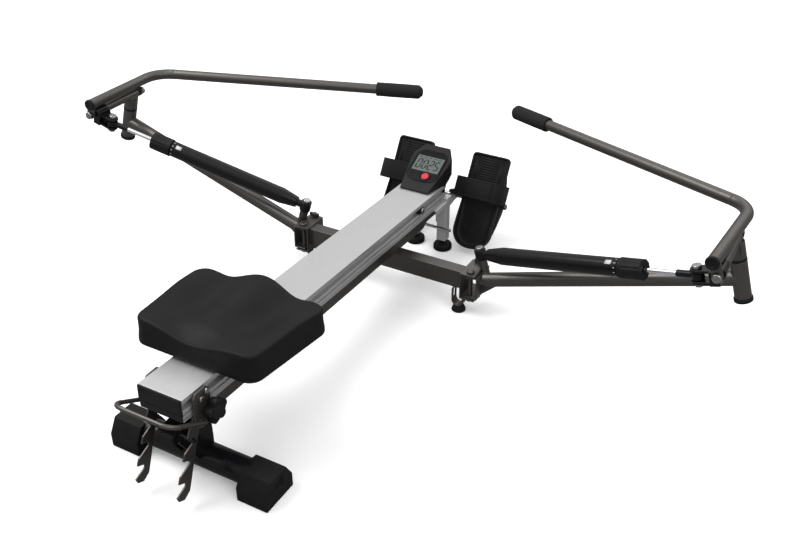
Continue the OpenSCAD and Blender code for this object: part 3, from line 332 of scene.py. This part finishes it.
WELD_GAP = 0.00002
FLAT_ANGLE, EDGE_ANGLE = math.radians(0.6), math.radians(35)
SHADE_WEIGHT = 60
# node: (material, edge radius in mm)
DRESS = {
    "rail": (ALU, 0.8),
    "rail_end_caps": (PLASTIC, 1.5),
    "spine_tube": (GUNMETAL, 2.0),
    "cross_tube": (GUNMETAL, 1.0),
    "hinge_bolts": (GUNMETAL, 0.6),
    "end_foot_pads": (RUBBER, 1.0),
    "front_posts": (SILVER, 1.5),
    "front_bracket": (SILVER, 0.8),
    "stop_rod": (CHROME, 0.5),
    "footplate_axle": (ZINC, 0.5),
    "monitor_housing": (PLASTIC, 2.0),
    "monitor_bezel": (GLOSS_BLACK, 0.5),
    "lcd_screen": (GLASS, 0.2),
    "seat_stops": (RUBBER, 1.0),
    "rear_side_plates": (GUNMETAL, 0.8),
    "frame_bolts": (ZINC, 0.5),
    "monitor_button": (RED, 0.5),
    "seat_pan": (PLASTIC, 1.5),
    "seat_carriage": (GUNMETAL, 0.8),
    "front_rollers": (PLASTIC, 0.8),
    "rear_rollers": (PLASTIC, 0.8),
    "rear_leg": (GLOSS_PAINT, 0.8),
    "rear_foot_tube": (GLOSS_PAINT, 1.0),
    "rear_foot_caps": (RUBBER, 2.0),
    "height_latch": (GUNMETAL, 0.6),
    "star_knob": (PLASTIC, 1.5),
}
SIDED_DRESS = {
    "front_foot": (RUBBER, 1.0),
    "outrigger": (GUNMETAL, 1.0),
    "sleeve_ends": (PLASTIC, 1.0),
    "pivot_bolt": (ZINC, 0.5),
    "lock_pin": (GUNMETAL, 0.8),
    "yoke": (GUNMETAL, 1.0),
    "knuckle": (GLOSS_PAINT, 1.2),
    "yoke_bolts": (ZINC, 0.6),
    "handle": (GUNMETAL, 0.0),
    "cylinder": (GLOSS_PAINT, 0.8),
    "collar": (PLASTIC, 0.8),
    "rod": (CHROME, 0.5),
    "rod_end": (GLOSS_PAINT, 0.8),
}


def dress(node, material, radius):
    """Gives a CAD node its material, and rounds its edges with modifiers; its mesh is not changed."""
    obj = NODES[node]
    obj.data.materials.clear()
    obj.data.materials.append(material)
    obj.data.polygons.foreach_set("use_smooth", [True] * len(obj.data.polygons))
    normals = obj.data.attributes.get("custom_normal")
    if normals:
        obj.data.attributes.remove(normals)
    weld = obj.modifiers.new("weld", "WELD")
    weld.merge_threshold = WELD_GAP
    flat = obj.modifiers.new("flat", "DECIMATE")
    flat.decimate_type = "DISSOLVE"
    flat.angle_limit = FLAT_ANGLE
    if radius:
        bevel = obj.modifiers.new("edges", "BEVEL")
        bevel.width = radius * MM
        bevel.segments = 2
        bevel.limit_method = "ANGLE"
        bevel.angle_limit = EDGE_ANGLE
        bevel.use_clamp_overlap = False
        bevel.miter_outer = "MITER_ARC"
    shade = obj.modifiers.new("shade", "WEIGHTED_NORMAL")
    shade.keep_sharp = True
    shade.weight = SHADE_WEIGHT


for node, (material, radius) in DRESS.items():
    dress(node, material, radius)
for name, (material, radius) in SIDED_DRESS.items():
    for side in SIDES.values():
        dress(f"{name}_{side}", material, radius)

# ------------------------------------------------ meshes


def piece(name, place, shell, material, body, replaces, side=RIGHT, levels=0):
    """A mesh from a shell in mm in a place's own frame, riding on a body."""
    matrix = on(side, place)
    faces = [tuple(reversed(f)) for f in shell.faces] if side == LEFT else shell.faces
    mesh = bpy.data.meshes.new(name)
    mesh.from_pydata([matrix @ Vector(v) for v in shell.verts], [], faces)
    mesh.polygons.foreach_set("use_smooth", [True] * len(mesh.polygons))
    mesh.materials.append(material)
    mesh.update()
    obj = bpy.data.objects.new(name, mesh)
    bpy.context.scene.collection.objects.link(obj)
    if levels:
        smooth = obj.modifiers.new("smooth", "SUBSURF")
        smooth.levels = smooth.render_levels = levels
    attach(obj, body)
    if replaces:
        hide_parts(*replaces)
    return obj


class Shell:
    """Points and faces of closed forms, each lofted through loops of points."""

    def __init__(self):
        self.verts, self.faces = [], []

    def loft(self, loops, caps=True):
        """Joins equal loops that run anticlockwise seen from the last one; caps are fans to the middle."""
        first, around = len(self.verts), len(loops[0])
        for loop in loops:
            self.verts += [tuple(p) for p in loop]
        for r in range(len(loops) - 1):
            for i in range(around):
                j = (i + 1) % around
                a, b = first + r * around, first + (r + 1) * around
                self.faces.append((a + i, a + j, b + j, b + i))
        if caps:
            last = first + (len(loops) - 1) * around
            for start, loop, outward in ((first, loops[0], False), (last, loops[-1], True)):
                self.verts.append(tuple(sum(p[k] for p in loop) / around for k in range(3)))
                for i in range(around):
                    edge = (start + i, start + (i + 1) % around)
                    self.faces.append((*(edge if outward else edge[::-1]), len(self.verts) - 1))
        return self


def smoothstep(low, high, x):
    """Rises smoothly from 0 at low to 1 at high; low may be the greater."""
    t = min(1.0, max(0.0, (x - low) / (high - low)))
    return t * t * (3 - 2 * t)


def bell(x, width):
    """A smooth bump of height 1 about zero."""
    return math.exp(-((x / width) ** 2))


ARC_STEPS = 16


def outline(corners, count):
    """Evenly spaced points and outward directions along arcs joined by straight lines.

    An arc is (x, y, radius, start, sweep), in degrees.
    """
    path = []
    for x, y, r, start, sweep in corners:
        for k in range(ARC_STEPS + 1):
            a = math.radians(start + sweep * k / ARC_STEPS)
            path.append(Vector((x + r * math.cos(a), y + r * math.sin(a))))
    path.append(path[0].copy())
    lengths = [0.0]
    for a, b in zip(path, path[1:]):
        lengths.append(lengths[-1] + (b - a).length)
    points, k = [], 0
    for i in range(count):
        d = lengths[-1] * i / count
        while lengths[k + 1] < d:
            k += 1
        share = (d - lengths[k]) / (lengths[k + 1] - lengths[k])
        points.append(path[k].lerp(path[k + 1], share))
    out = []
    for i, p in enumerate(points):
        along = points[(i + 1) % count] - points[i - 1]
        out.append((p, Vector((along.y, -along.x)).normalized()))
    return out


ASKEW = Vector((0.31, 0.22, 0.93))


def turned(shell, start, towards, profile, around=40):
    """Adds a round form; the profile is (distance along, radius) and runs from one end to the other."""
    axis = Vector(towards).normalized()
    across = axis.cross(ASKEW).normalized()
    other = axis.cross(across)
    loops = []
    for along, r in profile:
        centre = Vector(start) + axis * along
        spokes = [math.tau * i / around for i in range(around)]
        loops.append([centre + (across * math.cos(a) + other * math.sin(a)) * r for a in spokes])
    return shell.loft(loops)


def turned_ring(shell, at, profile, around):
    """Adds a ring that lies flat on a face; the profile is (height, radius), closed on itself."""
    first, count = len(shell.verts), len(profile)
    x, y, z = at
    for i in range(around):
        a = math.tau * i / around
        shell.verts += [(x + r * math.cos(a), y + r * math.sin(a), z + h) for h, r in profile]
    for i in range(around):
        for k in range(count):
            a, b = first + i * count, first + (i + 1) % around * count
            j = (k + 1) % count
            shell.faces.append((a + k, b + k, b + j, a + j))


# ------------------------------------------------ seat

SEAT_FRONT, SEAT_REAR, SEAT_DEEP, SEAT_CORNER = 148.0, 134.0, 107.0, 28.0
SEAT_SKIRT_Z = 5.0
SEAT_RIM = 6.5
SEAT_DRAFT = 3.0
SEAT_POINTS, SEAT_RINGS = 176, 26
SEAT_WALL_STEPS, SEAT_RIM_STEPS = 5, 8
GROOVE_IN, GROOVE_END, GROOVE_DEEP = 1.5, 3.0, 0.5
BULGE, BULGE_WIDTH = 12, 62


def seat_bow(p):
    """The front edge bulges forward in the middle."""
    return Vector((0, BULGE * bell(p.x, BULGE_WIDTH) * smoothstep(55, SEAT_DEEP, p.y)))


def seat_top(x, y):
    """Height of the seat's upper face over its underside: each term is a depth times where it is."""
    hollow = 19 * bell(abs(x) - 66, 42) * bell(y - 2, 70)
    middle = 4 * bell(x, 34) * bell(y + 30, 50)
    channel = 9 * bell(abs(x) - 80, 36) * smoothstep(5, SEAT_DEEP, y)
    pommel = 9 * bell(x, 46) * smoothstep(-15, SEAT_DEEP, y)
    corner = 8 * smoothstep(95, 148, abs(x)) * smoothstep(10, SEAT_DEEP, y)
    notch = 21 * bell(x + 4, 58) * smoothstep(-50, -SEAT_DEEP, y)
    sides = 3 * smoothstep(85, 140, abs(x)) * smoothstep(60, -90, y)
    return SEAT_THICK - 1 - hollow - middle - channel + pommel - corner - notch - sides


def upper_face(edge, q):
    return SEAT_LOW + seat_top(q.x, q.y)


def make_seat():
    c = SEAT_CORNER
    rear, front, deep = SEAT_REAR - c, SEAT_FRONT - c, SEAT_DEEP - c
    lean = math.degrees(math.atan2(SEAT_FRONT - SEAT_REAR, 2 * SEAT_DEEP))
    around = outline(
        [
            (rear, -deep, c, -90, 90 - lean),
            (front, deep, c, -lean, 90 + lean),
            (-front, deep, c, 90, 90 + lean),
            (-rear, -deep, c, 180 + lean, 90 - lean),
        ],
        SEAT_POINTS,
    )
    top = SEAT_DRAFT + SEAT_RIM

    def ring(inset, height, scale=1.0):
        """One loop round the seat; a height given as a function follows the upper face."""
        loop = []
        for p, n in around:
            q = (p - n * inset + seat_bow(p)) * scale
            loop.append((q.x, q.y, height(p - n * top, q) if callable(height) else height))
        return loop

    low = SEAT_SKIRT_Z
    loops = [ring(20, SEAT_LOW, 0.5), ring(20, SEAT_LOW), ring(16.5, SEAT_LOW - 1.5), ring(15, low + 1)]
    loops += [ring(13.5, low), ring(3.5, low), ring(1.2, low + 0.8), ring(0.3, low + 3)]
    for k in range(1, SEAT_WALL_STEPS + 1):
        loops.append(ring(SEAT_DRAFT * k / SEAT_WALL_STEPS, SEAT_LOW + 22 * k / SEAT_WALL_STEPS - 5))
    for k in range(SEAT_RIM_STEPS + 1):
        a = math.radians(90 * k / SEAT_RIM_STEPS)
        inset = SEAT_DRAFT + SEAT_RIM * (1 - math.cos(a))
        drop = SEAT_RIM * (1 - math.sin(a))
        loops.append(ring(inset, lambda edge, q, drop=drop: SEAT_LOW + seat_top(edge.x, edge.y) - drop))
    # a shallow groove where the skin turns over the rim, then the upper face
    loops.append(ring(top + GROOVE_IN, lambda edge, q: SEAT_LOW + seat_top(q.x, q.y) - GROOVE_DEEP))
    for k in range(SEAT_RINGS):
        loops.append(ring(top + GROOVE_END, upper_face, 1 - k / SEAT_RINGS))
    shell = Shell().loft(loops)
    seat = piece("seat_cushion", SEAT, shell, SKIN, "seat", ["seat_pad"], levels=1)


make_seat()

# ------------------------------------------------ handle grips

HANDLE_R, GRIP_R, GRIP_LEN, GRIP_TIP = 12.5, 17.5, 120.0, 4.0
HANDLE_PLUG = Vector((804.5, -114.7, 122.4))
HANDLE_CORNER = Vector((817.8, 137.7, 110.5))
HANDLE_GRIP = Vector((214.9, 428.0, 258.5))
GRIP_FIT = 0.05
PLUG_BORE, PLUG_LIP = 10.5, 1.0


def make_grip(side):
    where = SIDES[side]
    reach = (HANDLE_GRIP - HANDLE_CORNER).normalized()
    start = HANDLE_GRIP - reach * (GRIP_LEN - GRIP_TIP)
    r, bore, end = GRIP_R, HANDLE_R + GRIP_FIT, GRIP_LEN
    profile = [(end - GRIP_TIP, 0.5), (end - GRIP_TIP, bore)]
    profile += [(2, bore), (0.2, bore + 0.8), (0, bore + 2), (0, r - 2)]
    profile += [(0.6, r - 0.7), (2.2, r), (5.0, r + 0.3), (8.0, r + 0.2), (9.4, r - 0.5), (10.8, r + 0.1)]
    profile += [(14 + 9 * k, r + 0.25 * math.sin(k * math.pi / 10)) for k in range(11)]
    profile += [(end - 12, r), (end - 10.5, r - 0.1), (end - 9.5, r - 1.0)]
    profile += [(end - 3.6, r - 6.0), (end - 2.2, r - 7.6)]
    profile += [(end - 0.8, r - 9.0), (end, r - 11.5), (end, 2.0), (end, 0.5)]
    grip = turned(Shell(), start, reach, profile, 48)
    stands_for = [f"handle_ends_{where}"]
    made = piece(f"foam_grip_{where}", ARM, grip, FOAM, f"handle_{where}", stands_for, side)


def make_plug(side):
    """The plug in the low end of the handle tube."""
    where = SIDES[side]
    out = (HANDLE_PLUG - HANDLE_CORNER).normalized()
    r = HANDLE_R + PLUG_LIP
    profile = [(-12, 1), (-12, PLUG_BORE - 1), (-11, PLUG_BORE), (0.1, PLUG_BORE)]
    profile += [(0.1, r - 0.4), (0.6, r), (3.6, r), (5.0, r - 0.5)]
    profile += [(6.0, r - 2.0), (6.0, r - 4.4), (5.2, r - 5.0), (5.2, 1.0)]
    plug = turned(Shell(), HANDLE_PLUG, out, profile)
    piece(f"handle_plug_{where}", ARM, plug, PLASTIC, f"handle_{where}", (), side)


for side in SIDES:
    make_grip(side)
    make_plug(side)

# ------------------------------------------------ footplates and straps

# points are (across, up the plate, out of it)
PLATE_X, PLATE_W, PLATE_HEEL, PLATE_TOE = 55.0, 98.0, -121.0, 116.0
TREAD_N, TREAD_T, RIM_H, CUP_H = 27.0, 8.0, 6.0, 9.0
HEEL_R, TOE_R = 45.0, 10.0
PLATE_POINTS = 200
TOE_RIBS, HEEL_RIBS, RIB_STEP = 14, 10, 6.2
LONG_RIBS, LONG_RIB_ENDS = (14.0, 19.0, 79.0, 84.0), (108.0, 24.0)
LUG_W, LUG_CORNER = 10.0, 3


def heel(s):
    """0 under the toes, and grows to 1 round the heel."""
    return smoothstep(20, -80, s)


def rim(drop):
    """A height below the rim, which is low round the toe and grows into a cup round the heel."""
    return lambda s: TREAD_N + (RIM_H + CUP_H * heel(s)) - drop


def cup(lift):
    """A height over the tread that is reached only round the heel."""
    return lambda s: TREAD_N + lift * heel(s)


def make_footplate(side):
    where = SIDES[side]
    w = PLATE_W
    around = outline(
        [
            (HEEL_R, PLATE_HEEL + HEEL_R, HEEL_R, 180, 90),
            (w - HEEL_R, PLATE_HEEL + HEEL_R, HEEL_R, 270, 90),
            (w - TOE_R, PLATE_TOE - TOE_R, TOE_R, 0, 90),
            (TOE_R, PLATE_TOE - TOE_R, TOE_R, 90, 90),
        ],
        PLATE_POINTS,
    )

    def ring(inset, height, scale=1.0):
        loop = []
        for p, n in around:
            q = p - n * inset
            axis = Vector((w / 2, min(max(q.y, PLATE_HEEL + HEEL_R), PLATE_TOE - HEEL_R)))
            q = axis + (q - axis) * scale
            loop.append((PLATE_X + q.x, q.y, height(p.y) if callable(height) else height))
        return loop

    low = TREAD_N - TREAD_T
    shell = Shell()
    loops = [ring(8, low, 0.3), ring(8, low), ring(2.2, low), ring(0.6, low + 0.5), ring(0, low + 2)]
    loops += [ring(0, low + 4.2), ring(0.9, low + 4.8), ring(0.9, low + 6.2), ring(0, low + 6.8)]
    loops += [ring(0, rim(2.0)), ring(0.5, rim(0.7)), ring(1.8, rim(0.0)), ring(3.4, rim(0.0))]
    loops += [ring(4.6, rim(0.7)), ring(5.0, rim(1.6)), ring(5.2, cup(6.0)), ring(6.2, cup(3.0))]
    loops += [ring(8.5, cup(1.2))]
    loops += [ring(9.5, TREAD_N), ring(9.5, TREAD_N, 0.8), ring(9.5, TREAD_N, 0.4)]
    shell.loft(loops)
    # cross ribs under the toes and fine ribs in the heel, as (from, to, up the plate, width, height)
    bars = [(25.0, 73.0, 104.0 - RIB_STEP * k, 3.2, 1.8) for k in range(TOE_RIBS)]
    bars += [(30.0, 68.0, -30.0 - RIB_STEP * k, 2.6, 0.9) for k in range(HEEL_RIBS)]
    for x0, x1, s, wide, high in bars:
        arch = [(-wide / 2, -0.5), (wide / 2, -0.5), (wide / 2, high * 0.6)]
        arch += [(wide / 4, high), (-wide / 4, high), (-wide / 2, high * 0.6)]
        ends = ((x0, 0.6), (x0 + 1.0, 1.0), (x1 - 1.0, 1.0), (x1, 0.6))
        shell.loft([[(PLATE_X + x, s + b * k, TREAD_N + h * k) for b, h in arch] for x, k in ends])
    # the long ribs beside them, two on each side
    arch = [(-1.2, -0.5), (-1.2, 0.9), (-0.5, 1.5), (0.5, 1.5), (1.2, 0.9), (1.2, -0.5)]
    for x in LONG_RIBS:
        shell.loft([[(PLATE_X + x + b, s, TREAD_N + h) for b, h in arch] for s in LONG_RIB_ENDS])
    # the two lugs that hang on the axle, each a plate with rounded edges and a raised boss
    lug = [(-79, low + 1), (74, low + 1), (20, -11), (0, -13.5), (-20, -11), (-55, 6)]
    lug = [Vector(p) for p in lug]
    centre = sum(lug, Vector((0, 0))) / len(lug)
    fine = []
    for k, p in enumerate(lug):
        before, after = lug[k - 1], lug[(k + 1) % len(lug)]
        fine += [p.lerp(q, LUG_CORNER / (p - q).length) for q in (before, after)]
    for x in (0.0, w - LUG_W):
        loops = []
        for dx, k in ((0.0, 0.97), (0.9, 1.0), (9.1, 1.0), (LUG_W, 0.97)):
            loops.append([(PLATE_X + x + dx, *(centre + (p - centre) * k)) for p in fine])
        shell.loft(loops)
        for dx, out in ((0.5, -1), (9.5, 1)):
            boss = [(1.4, AXLE_R), (1.4, 8.6), (1.0, 9.2), (-0.5, 9.4)]
            turned(shell, (PLATE_X + x + dx, 0, 0), (out, 0, 0), boss, 32)
    plate = f"footplate_{where}"
    piece(f"footplate_shell_{where}", PLATE, shell, PLASTIC, plate, [plate], side)


STRAP_S, STRAP_W, STRAP_T, STRAP_R = 24.0, 48.0, 2.5, 24.0
STRAP_LEFT, STRAP_RIGHT, STRAP_CROWN = 41.5, 166.5, 79.0
STRAP_SAG, ARC_POINTS, CROWN_POINTS = 1.2, 10, 5
# the strap's left end, from under the plate to the straight part beside it; the right end mirrors it
STRAP_END = ((57, 14.5), (50, 14.6), (44.5, 17.5), (42.2, 24), (STRAP_LEFT, 34))
OVERLAP_T, OVERLAP_LIFT, OVERLAP_FROM, OVERLAP_SPAN = 1.6, 1.9, 60, 88
TAIL_PATH = ((43.0, 44), (38, 41.5), (32, 40), (26, 39.6), (20, 39.5))
TAIL_WIDTHS, TAIL_S, TAIL_T = (15, 15, 14, 11, 6), 7.0, 2.6


def strip(shell, path, s_mid, wide, thick):
    """A flat band with two stitch lines along a path of (across, out); wide holds a width for each step."""
    loops = []
    t = thick / 2
    for k, p in enumerate(path):
        along = (path[min(k + 1, len(path) - 1)] - path[max(k - 1, 0)]).normalized()
        out = Vector((-along.y, along.x))
        h = wide[k] / 2
        cross = [(-h, -t * 0.4), (-h + 0.5, -t), (0, -t), (h - 0.5, -t), (h, -t * 0.4)]
        cross += [(h, t * 0.4), (h - 0.5, t), (h - 3, t), (h - 3.6, t - 0.35), (h - 4.2, t), (0, t)]
        cross += [(-h + 4.2, t), (-h + 3.6, t - 0.35), (-h + 3, t), (-h + 0.5, t), (-h, t * 0.4)]
        loops.append([(p.x + out.x * b, s_mid + a, p.y + out.y * b) for a, b in cross])
    shell.loft(loops)


def strap_bend(x, start):
    """A quarter turn of the strap, clockwise from an angle in degrees."""
    bend = []
    for k in range(ARC_POINTS):
        a = math.radians(start - 90 * k / (ARC_POINTS - 1))
        bend.append(Vector((x + STRAP_R * math.cos(a), STRAP_CROWN - STRAP_R + STRAP_R * math.sin(a))))
    return bend


def make_strap(side):
    where = SIDES[side]
    left, right = STRAP_LEFT + STRAP_R, STRAP_RIGHT - STRAP_R
    path = [Vector(p) for p in STRAP_END] + strap_bend(left, 180)
    for k in range(1, CROWN_POINTS + 1):
        share = k / (CROWN_POINTS + 1)
        sag = STRAP_SAG * math.sin(math.pi * share)
        path.append(Vector((left + (right - left) * share, STRAP_CROWN - sag)))
    path += strap_bend(right, 90)
    path += [Vector((STRAP_LEFT + STRAP_RIGHT - x, out)) for x, out in reversed(STRAP_END)]
    shell = Shell()
    strip(shell, path, STRAP_S, [STRAP_W] * len(path), STRAP_T)
    # the second layer that folds back over the crown and closes on it
    over = []
    for x in range(72, 146, 8):
        sag = STRAP_SAG * math.sin(math.pi * (x - OVERLAP_FROM) / OVERLAP_SPAN)
        over.append(Vector((x, STRAP_CROWN + OVERLAP_LIFT - sag)))
    strip(shell, over, STRAP_S, [STRAP_W - 3] * len(over), OVERLAP_T)
    plate = f"footplate_{where}"
    piece(f"webbing_strap_{where}", PLATE, shell, WEBBING, plate, [f"foot_strap_{where}"], side)
    tail = Shell()
    strip(tail, [Vector(p) for p in TAIL_PATH], TAIL_S, TAIL_WIDTHS, TAIL_T)
    piece(f"strap_tail_{where}", PLATE, tail, WEBBING, plate, (), side)


for side in SIDES:
    make_footplate(side)
    make_strap(side)

# ------------------------------------------------ display and marks

LCD_MIDDLE = 81.0
BUTTON_X, BUTTON_T = 9.0, 44.0
BUTTON_RING = ((0.2, 10.3), (1.6, 10.3), (2.1, 10.9), (2.3, 12.0), (2.1, 13.4), (1.5, 14.4), (0.3, 15.0))
# which of the seven strokes each figure has: top, two uppers, middle, two lowers, bottom
STROKES = {"0": "1110111", "2": "1011101", "5": "1101011"}
READING = "0025"
FIGURE_FROM, FIGURE_STEP, FIGURE_W, FIGURE_H = -28, 15.4, 9.6, 26
FIGURE_SLANT, STROKE_GAP, STROKE_HALF = 0.09, 1.3, 1.5
COLON_HALF, DASH_HALF = 0.9, 0.8
DASHES, DASH_FROM, DASH_LEN, DASH_STEP, DASH_T = 5, -29, 6, 12.5, 18
MARK_OUT, MARK_LOW, MARK_HIGH = 0.05, 0.2, 0.12


def bar(shell, x0, t0, x1, t1, half):
    """A thin raised bar from one point of the display's face to another."""
    a, b = Vector((x0, t0)), Vector((x1, t1))
    d = (b - a).normalized()
    n = Vector((-d.y, d.x)) * half
    tip = d * half
    loop = [a - tip, a - n, b - n, b + tip, b + n, a + n]
    shell.loft([[(p.x, p.y, out) for p in loop] for out in (MARK_OUT - MARK_LOW, MARK_OUT + MARK_HIGH)])


def figure(shell, char, x, t):
    """A slanted seven-stroke figure about a middle height t."""
    w, h = FIGURE_W, FIGURE_H / 2
    ends = [
        ((0, h), (w, h)),
        ((0, h), (0, 0)),
        ((w, h), (w, 0)),
        ((0, 0), (w, 0)),
        ((0, 0), (0, -h)),
        ((w, 0), (w, -h)),
        ((0, -h), (w, -h)),
    ]
    for lit, (p, q) in zip(STROKES[char], ends):
        if lit == "1":
            p, q = Vector(p), Vector(q)
            trim = (q - p).normalized() * STROKE_HALF * STROKE_GAP
            corners = [(x + v.x + FIGURE_SLANT * v.y, t + v.y) for v in (p + trim, q - trim)]
            bar(shell, *corners[0], *corners[1], STROKE_HALF)


def make_display():
    marks = Shell()
    for k, char in enumerate(READING):
        figure(marks, char, FIGURE_FROM + FIGURE_STEP * k, LCD_MIDDLE - 2)
    for t in (-5.5, 3.5):
        bar(marks, 0.2, LCD_MIDDLE - 1 + t, 0.9, LCD_MIDDLE - 1 + t, COLON_HALF)
    for k in range(DASHES):
        x = DASH_FROM + DASH_STEP * k
        bar(marks, x, LCD_MIDDLE + DASH_T, x + DASH_LEN, LCD_MIDDLE + DASH_T, DASH_HALF)
    piece("display_digits", DISPLAY, marks, DIGITS, "frame", ())
    trim = Shell()
    turned_ring(trim, (BUTTON_X, BUTTON_T, 0), BUTTON_RING, 56)
    piece("display_trim", DISPLAY, trim, GLOSS_BLACK, "frame", ())


make_display()

BARREL_R, BARREL_TO = 19.0, 352.0
PRINT_LOW, PRINT_HIGH = 0.1, 0.12
TICKS, TICK_FROM, TICK_TO = 12, 3, 7
TICK_ENDS, BLOCK_ENDS, BLOCK_ARC = (-6, -2.6), (-26, -12), (108, 136)
PRINT_STEP = 4


def patch(shell, x0, x1, a0, a1):
    """A thin curved patch on the barrel, between two places along it and two angles round it."""
    steps = max(2, int(abs(a1 - a0) / PRINT_STEP))
    loops = []
    for k in range(steps + 1):
        a = math.radians(a0 + (a1 - a0) * k / steps)
        low, high = BARREL_R - PRINT_LOW, BARREL_R + PRINT_HIGH
        corners = ((x0, low), (x1, low), (x1, high), (x0, high))
        loops.append([(x, math.cos(a) * r, math.sin(a) * r) for x, r in corners])
    shell.loft(loops)


def make_marks(side):
    """White ticks round the end of the barrel, and a plain block of print beside them."""
    where = SIDES[side]
    shell = Shell()
    for k in range(TICKS):
        turned_by = 360 / TICKS * k
        patch(shell, *(BARREL_TO + x for x in TICK_ENDS), turned_by + TICK_FROM, turned_by + TICK_TO)
    patch(shell, *(BARREL_TO + x for x in BLOCK_ENDS), *BLOCK_ARC)
    piece(f"scale_marks_{where}", CYLINDER, shell, PRINT, f"cylinder_{where}", (), side)


for side in SIDES:
    make_marks(side)

# ------------------------------------------------ floor, light and camera

FLOOR_HALF = 12.0
WHITE = (1.0, 1.0, 1.0, 1.0)
HORIZON, OVERHEAD, RAMP_TOP = 0.34, 1.45, 0.9
LENS, SENSOR = 43.23, 36.0
CAMERA_AT = Vector((0.948071, -1.625906 + Y_SHIFT * MM, 1.240354))
CAMERA_FORWARD = Vector((-0.4113611, 0.7398346, -0.53237845))
CAMERA_RIGHT = Vector((0.87439173, 0.48521884, -0.00133187))


def make_floor():
    mesh = bpy.data.meshes.new("studio_floor")
    h = FLOOR_HALF
    mesh.from_pydata([(-h, -h, 0), (h, -h, 0), (h, h, 0), (-h, h, 0)], [], [(0, 1, 2, 3)])
    mesh.materials.append(floor_white())
    obj = bpy.data.objects.new("studio_floor", mesh)
    bpy.context.scene.collection.objects.link(obj)


def soft_light(name, location, target, size, power):
    data = bpy.data.lights.new(name, "AREA")
    data.shape = "RECTANGLE"
    data.size, data.size_y = size
    data.energy = power
    obj = bpy.data.objects.new(name, data)
    obj.location = location
    obj.rotation_euler = (Vector(target) - Vector(location)).to_track_quat("-Z", "Y").to_euler()
    bpy.context.scene.collection.objects.link(obj)


def make_camera():
    data = bpy.data.cameras.new("camera")
    data.lens, data.sensor_width = LENS, SENSOR
    obj = bpy.data.objects.new("camera", data)
    axes = (CAMERA_RIGHT, CAMERA_RIGHT.cross(CAMERA_FORWARD), -CAMERA_FORWARD, CAMERA_AT)
    obj.matrix_world = Matrix([[axis[row] for axis in axes] for row in range(3)] + [[0, 0, 0, 1]])
    bpy.context.scene.collection.objects.link(obj)
    bpy.context.scene.camera = obj


def make_world():
    """White to camera rays; to all others a soft sky, bright overhead and dim at the horizon."""
    world = bpy.data.worlds.new("studio")
    world.use_nodes = True
    tree = world.node_tree
    add, link = tree.nodes.new, tree.links.new
    shown, lit = tree.nodes["Background"], add("ShaderNodeBackground")
    shown.inputs["Color"].default_value = WHITE
    shown.inputs["Strength"].default_value = 1.0
    height = add("ShaderNodeSeparateXYZ")
    link(add("ShaderNodeTexCoord").outputs["Generated"], height.inputs["Vector"])
    ramp = add("ShaderNodeMapRange")
    ramp.inputs["From Min"].default_value, ramp.inputs["From Max"].default_value = 0.0, RAMP_TOP
    ramp.inputs["To Min"].default_value, ramp.inputs["To Max"].default_value = HORIZON, OVERHEAD
    link(height.outputs["Z"], ramp.inputs["Value"])
    link(ramp.outputs["Result"], lit.inputs["Strength"])
    choose = add("ShaderNodeMixShader")
    link(add("ShaderNodeLightPath").outputs["Is Camera Ray"], choose.inputs["Fac"])
    link(lit.outputs["Background"], choose.inputs[1])
    link(shown.outputs["Background"], choose.inputs[2])
    link(choose.outputs["Shader"], tree.nodes["World Output"].inputs["Surface"])
    bpy.context.scene.world = world


bpy.context.scene.view_settings.view_transform = "Standard"
make_floor()
# a light's place, the point it faces, its width and height in metres, and its power in watts
soft_light("key", (-1.6, -0.6, 3.0), (0, 0, 0.1), (2.4, 1.6), 70)
soft_light("fill", (2.4, -1.6, 2.4), (0, 0, 0.1), (2.0, 2.0), 26)
soft_light("back", (0.3, 2.8, 2.4), (0, 0, 0.2), (3.4, 1.6), 18)
make_world()
make_camera()
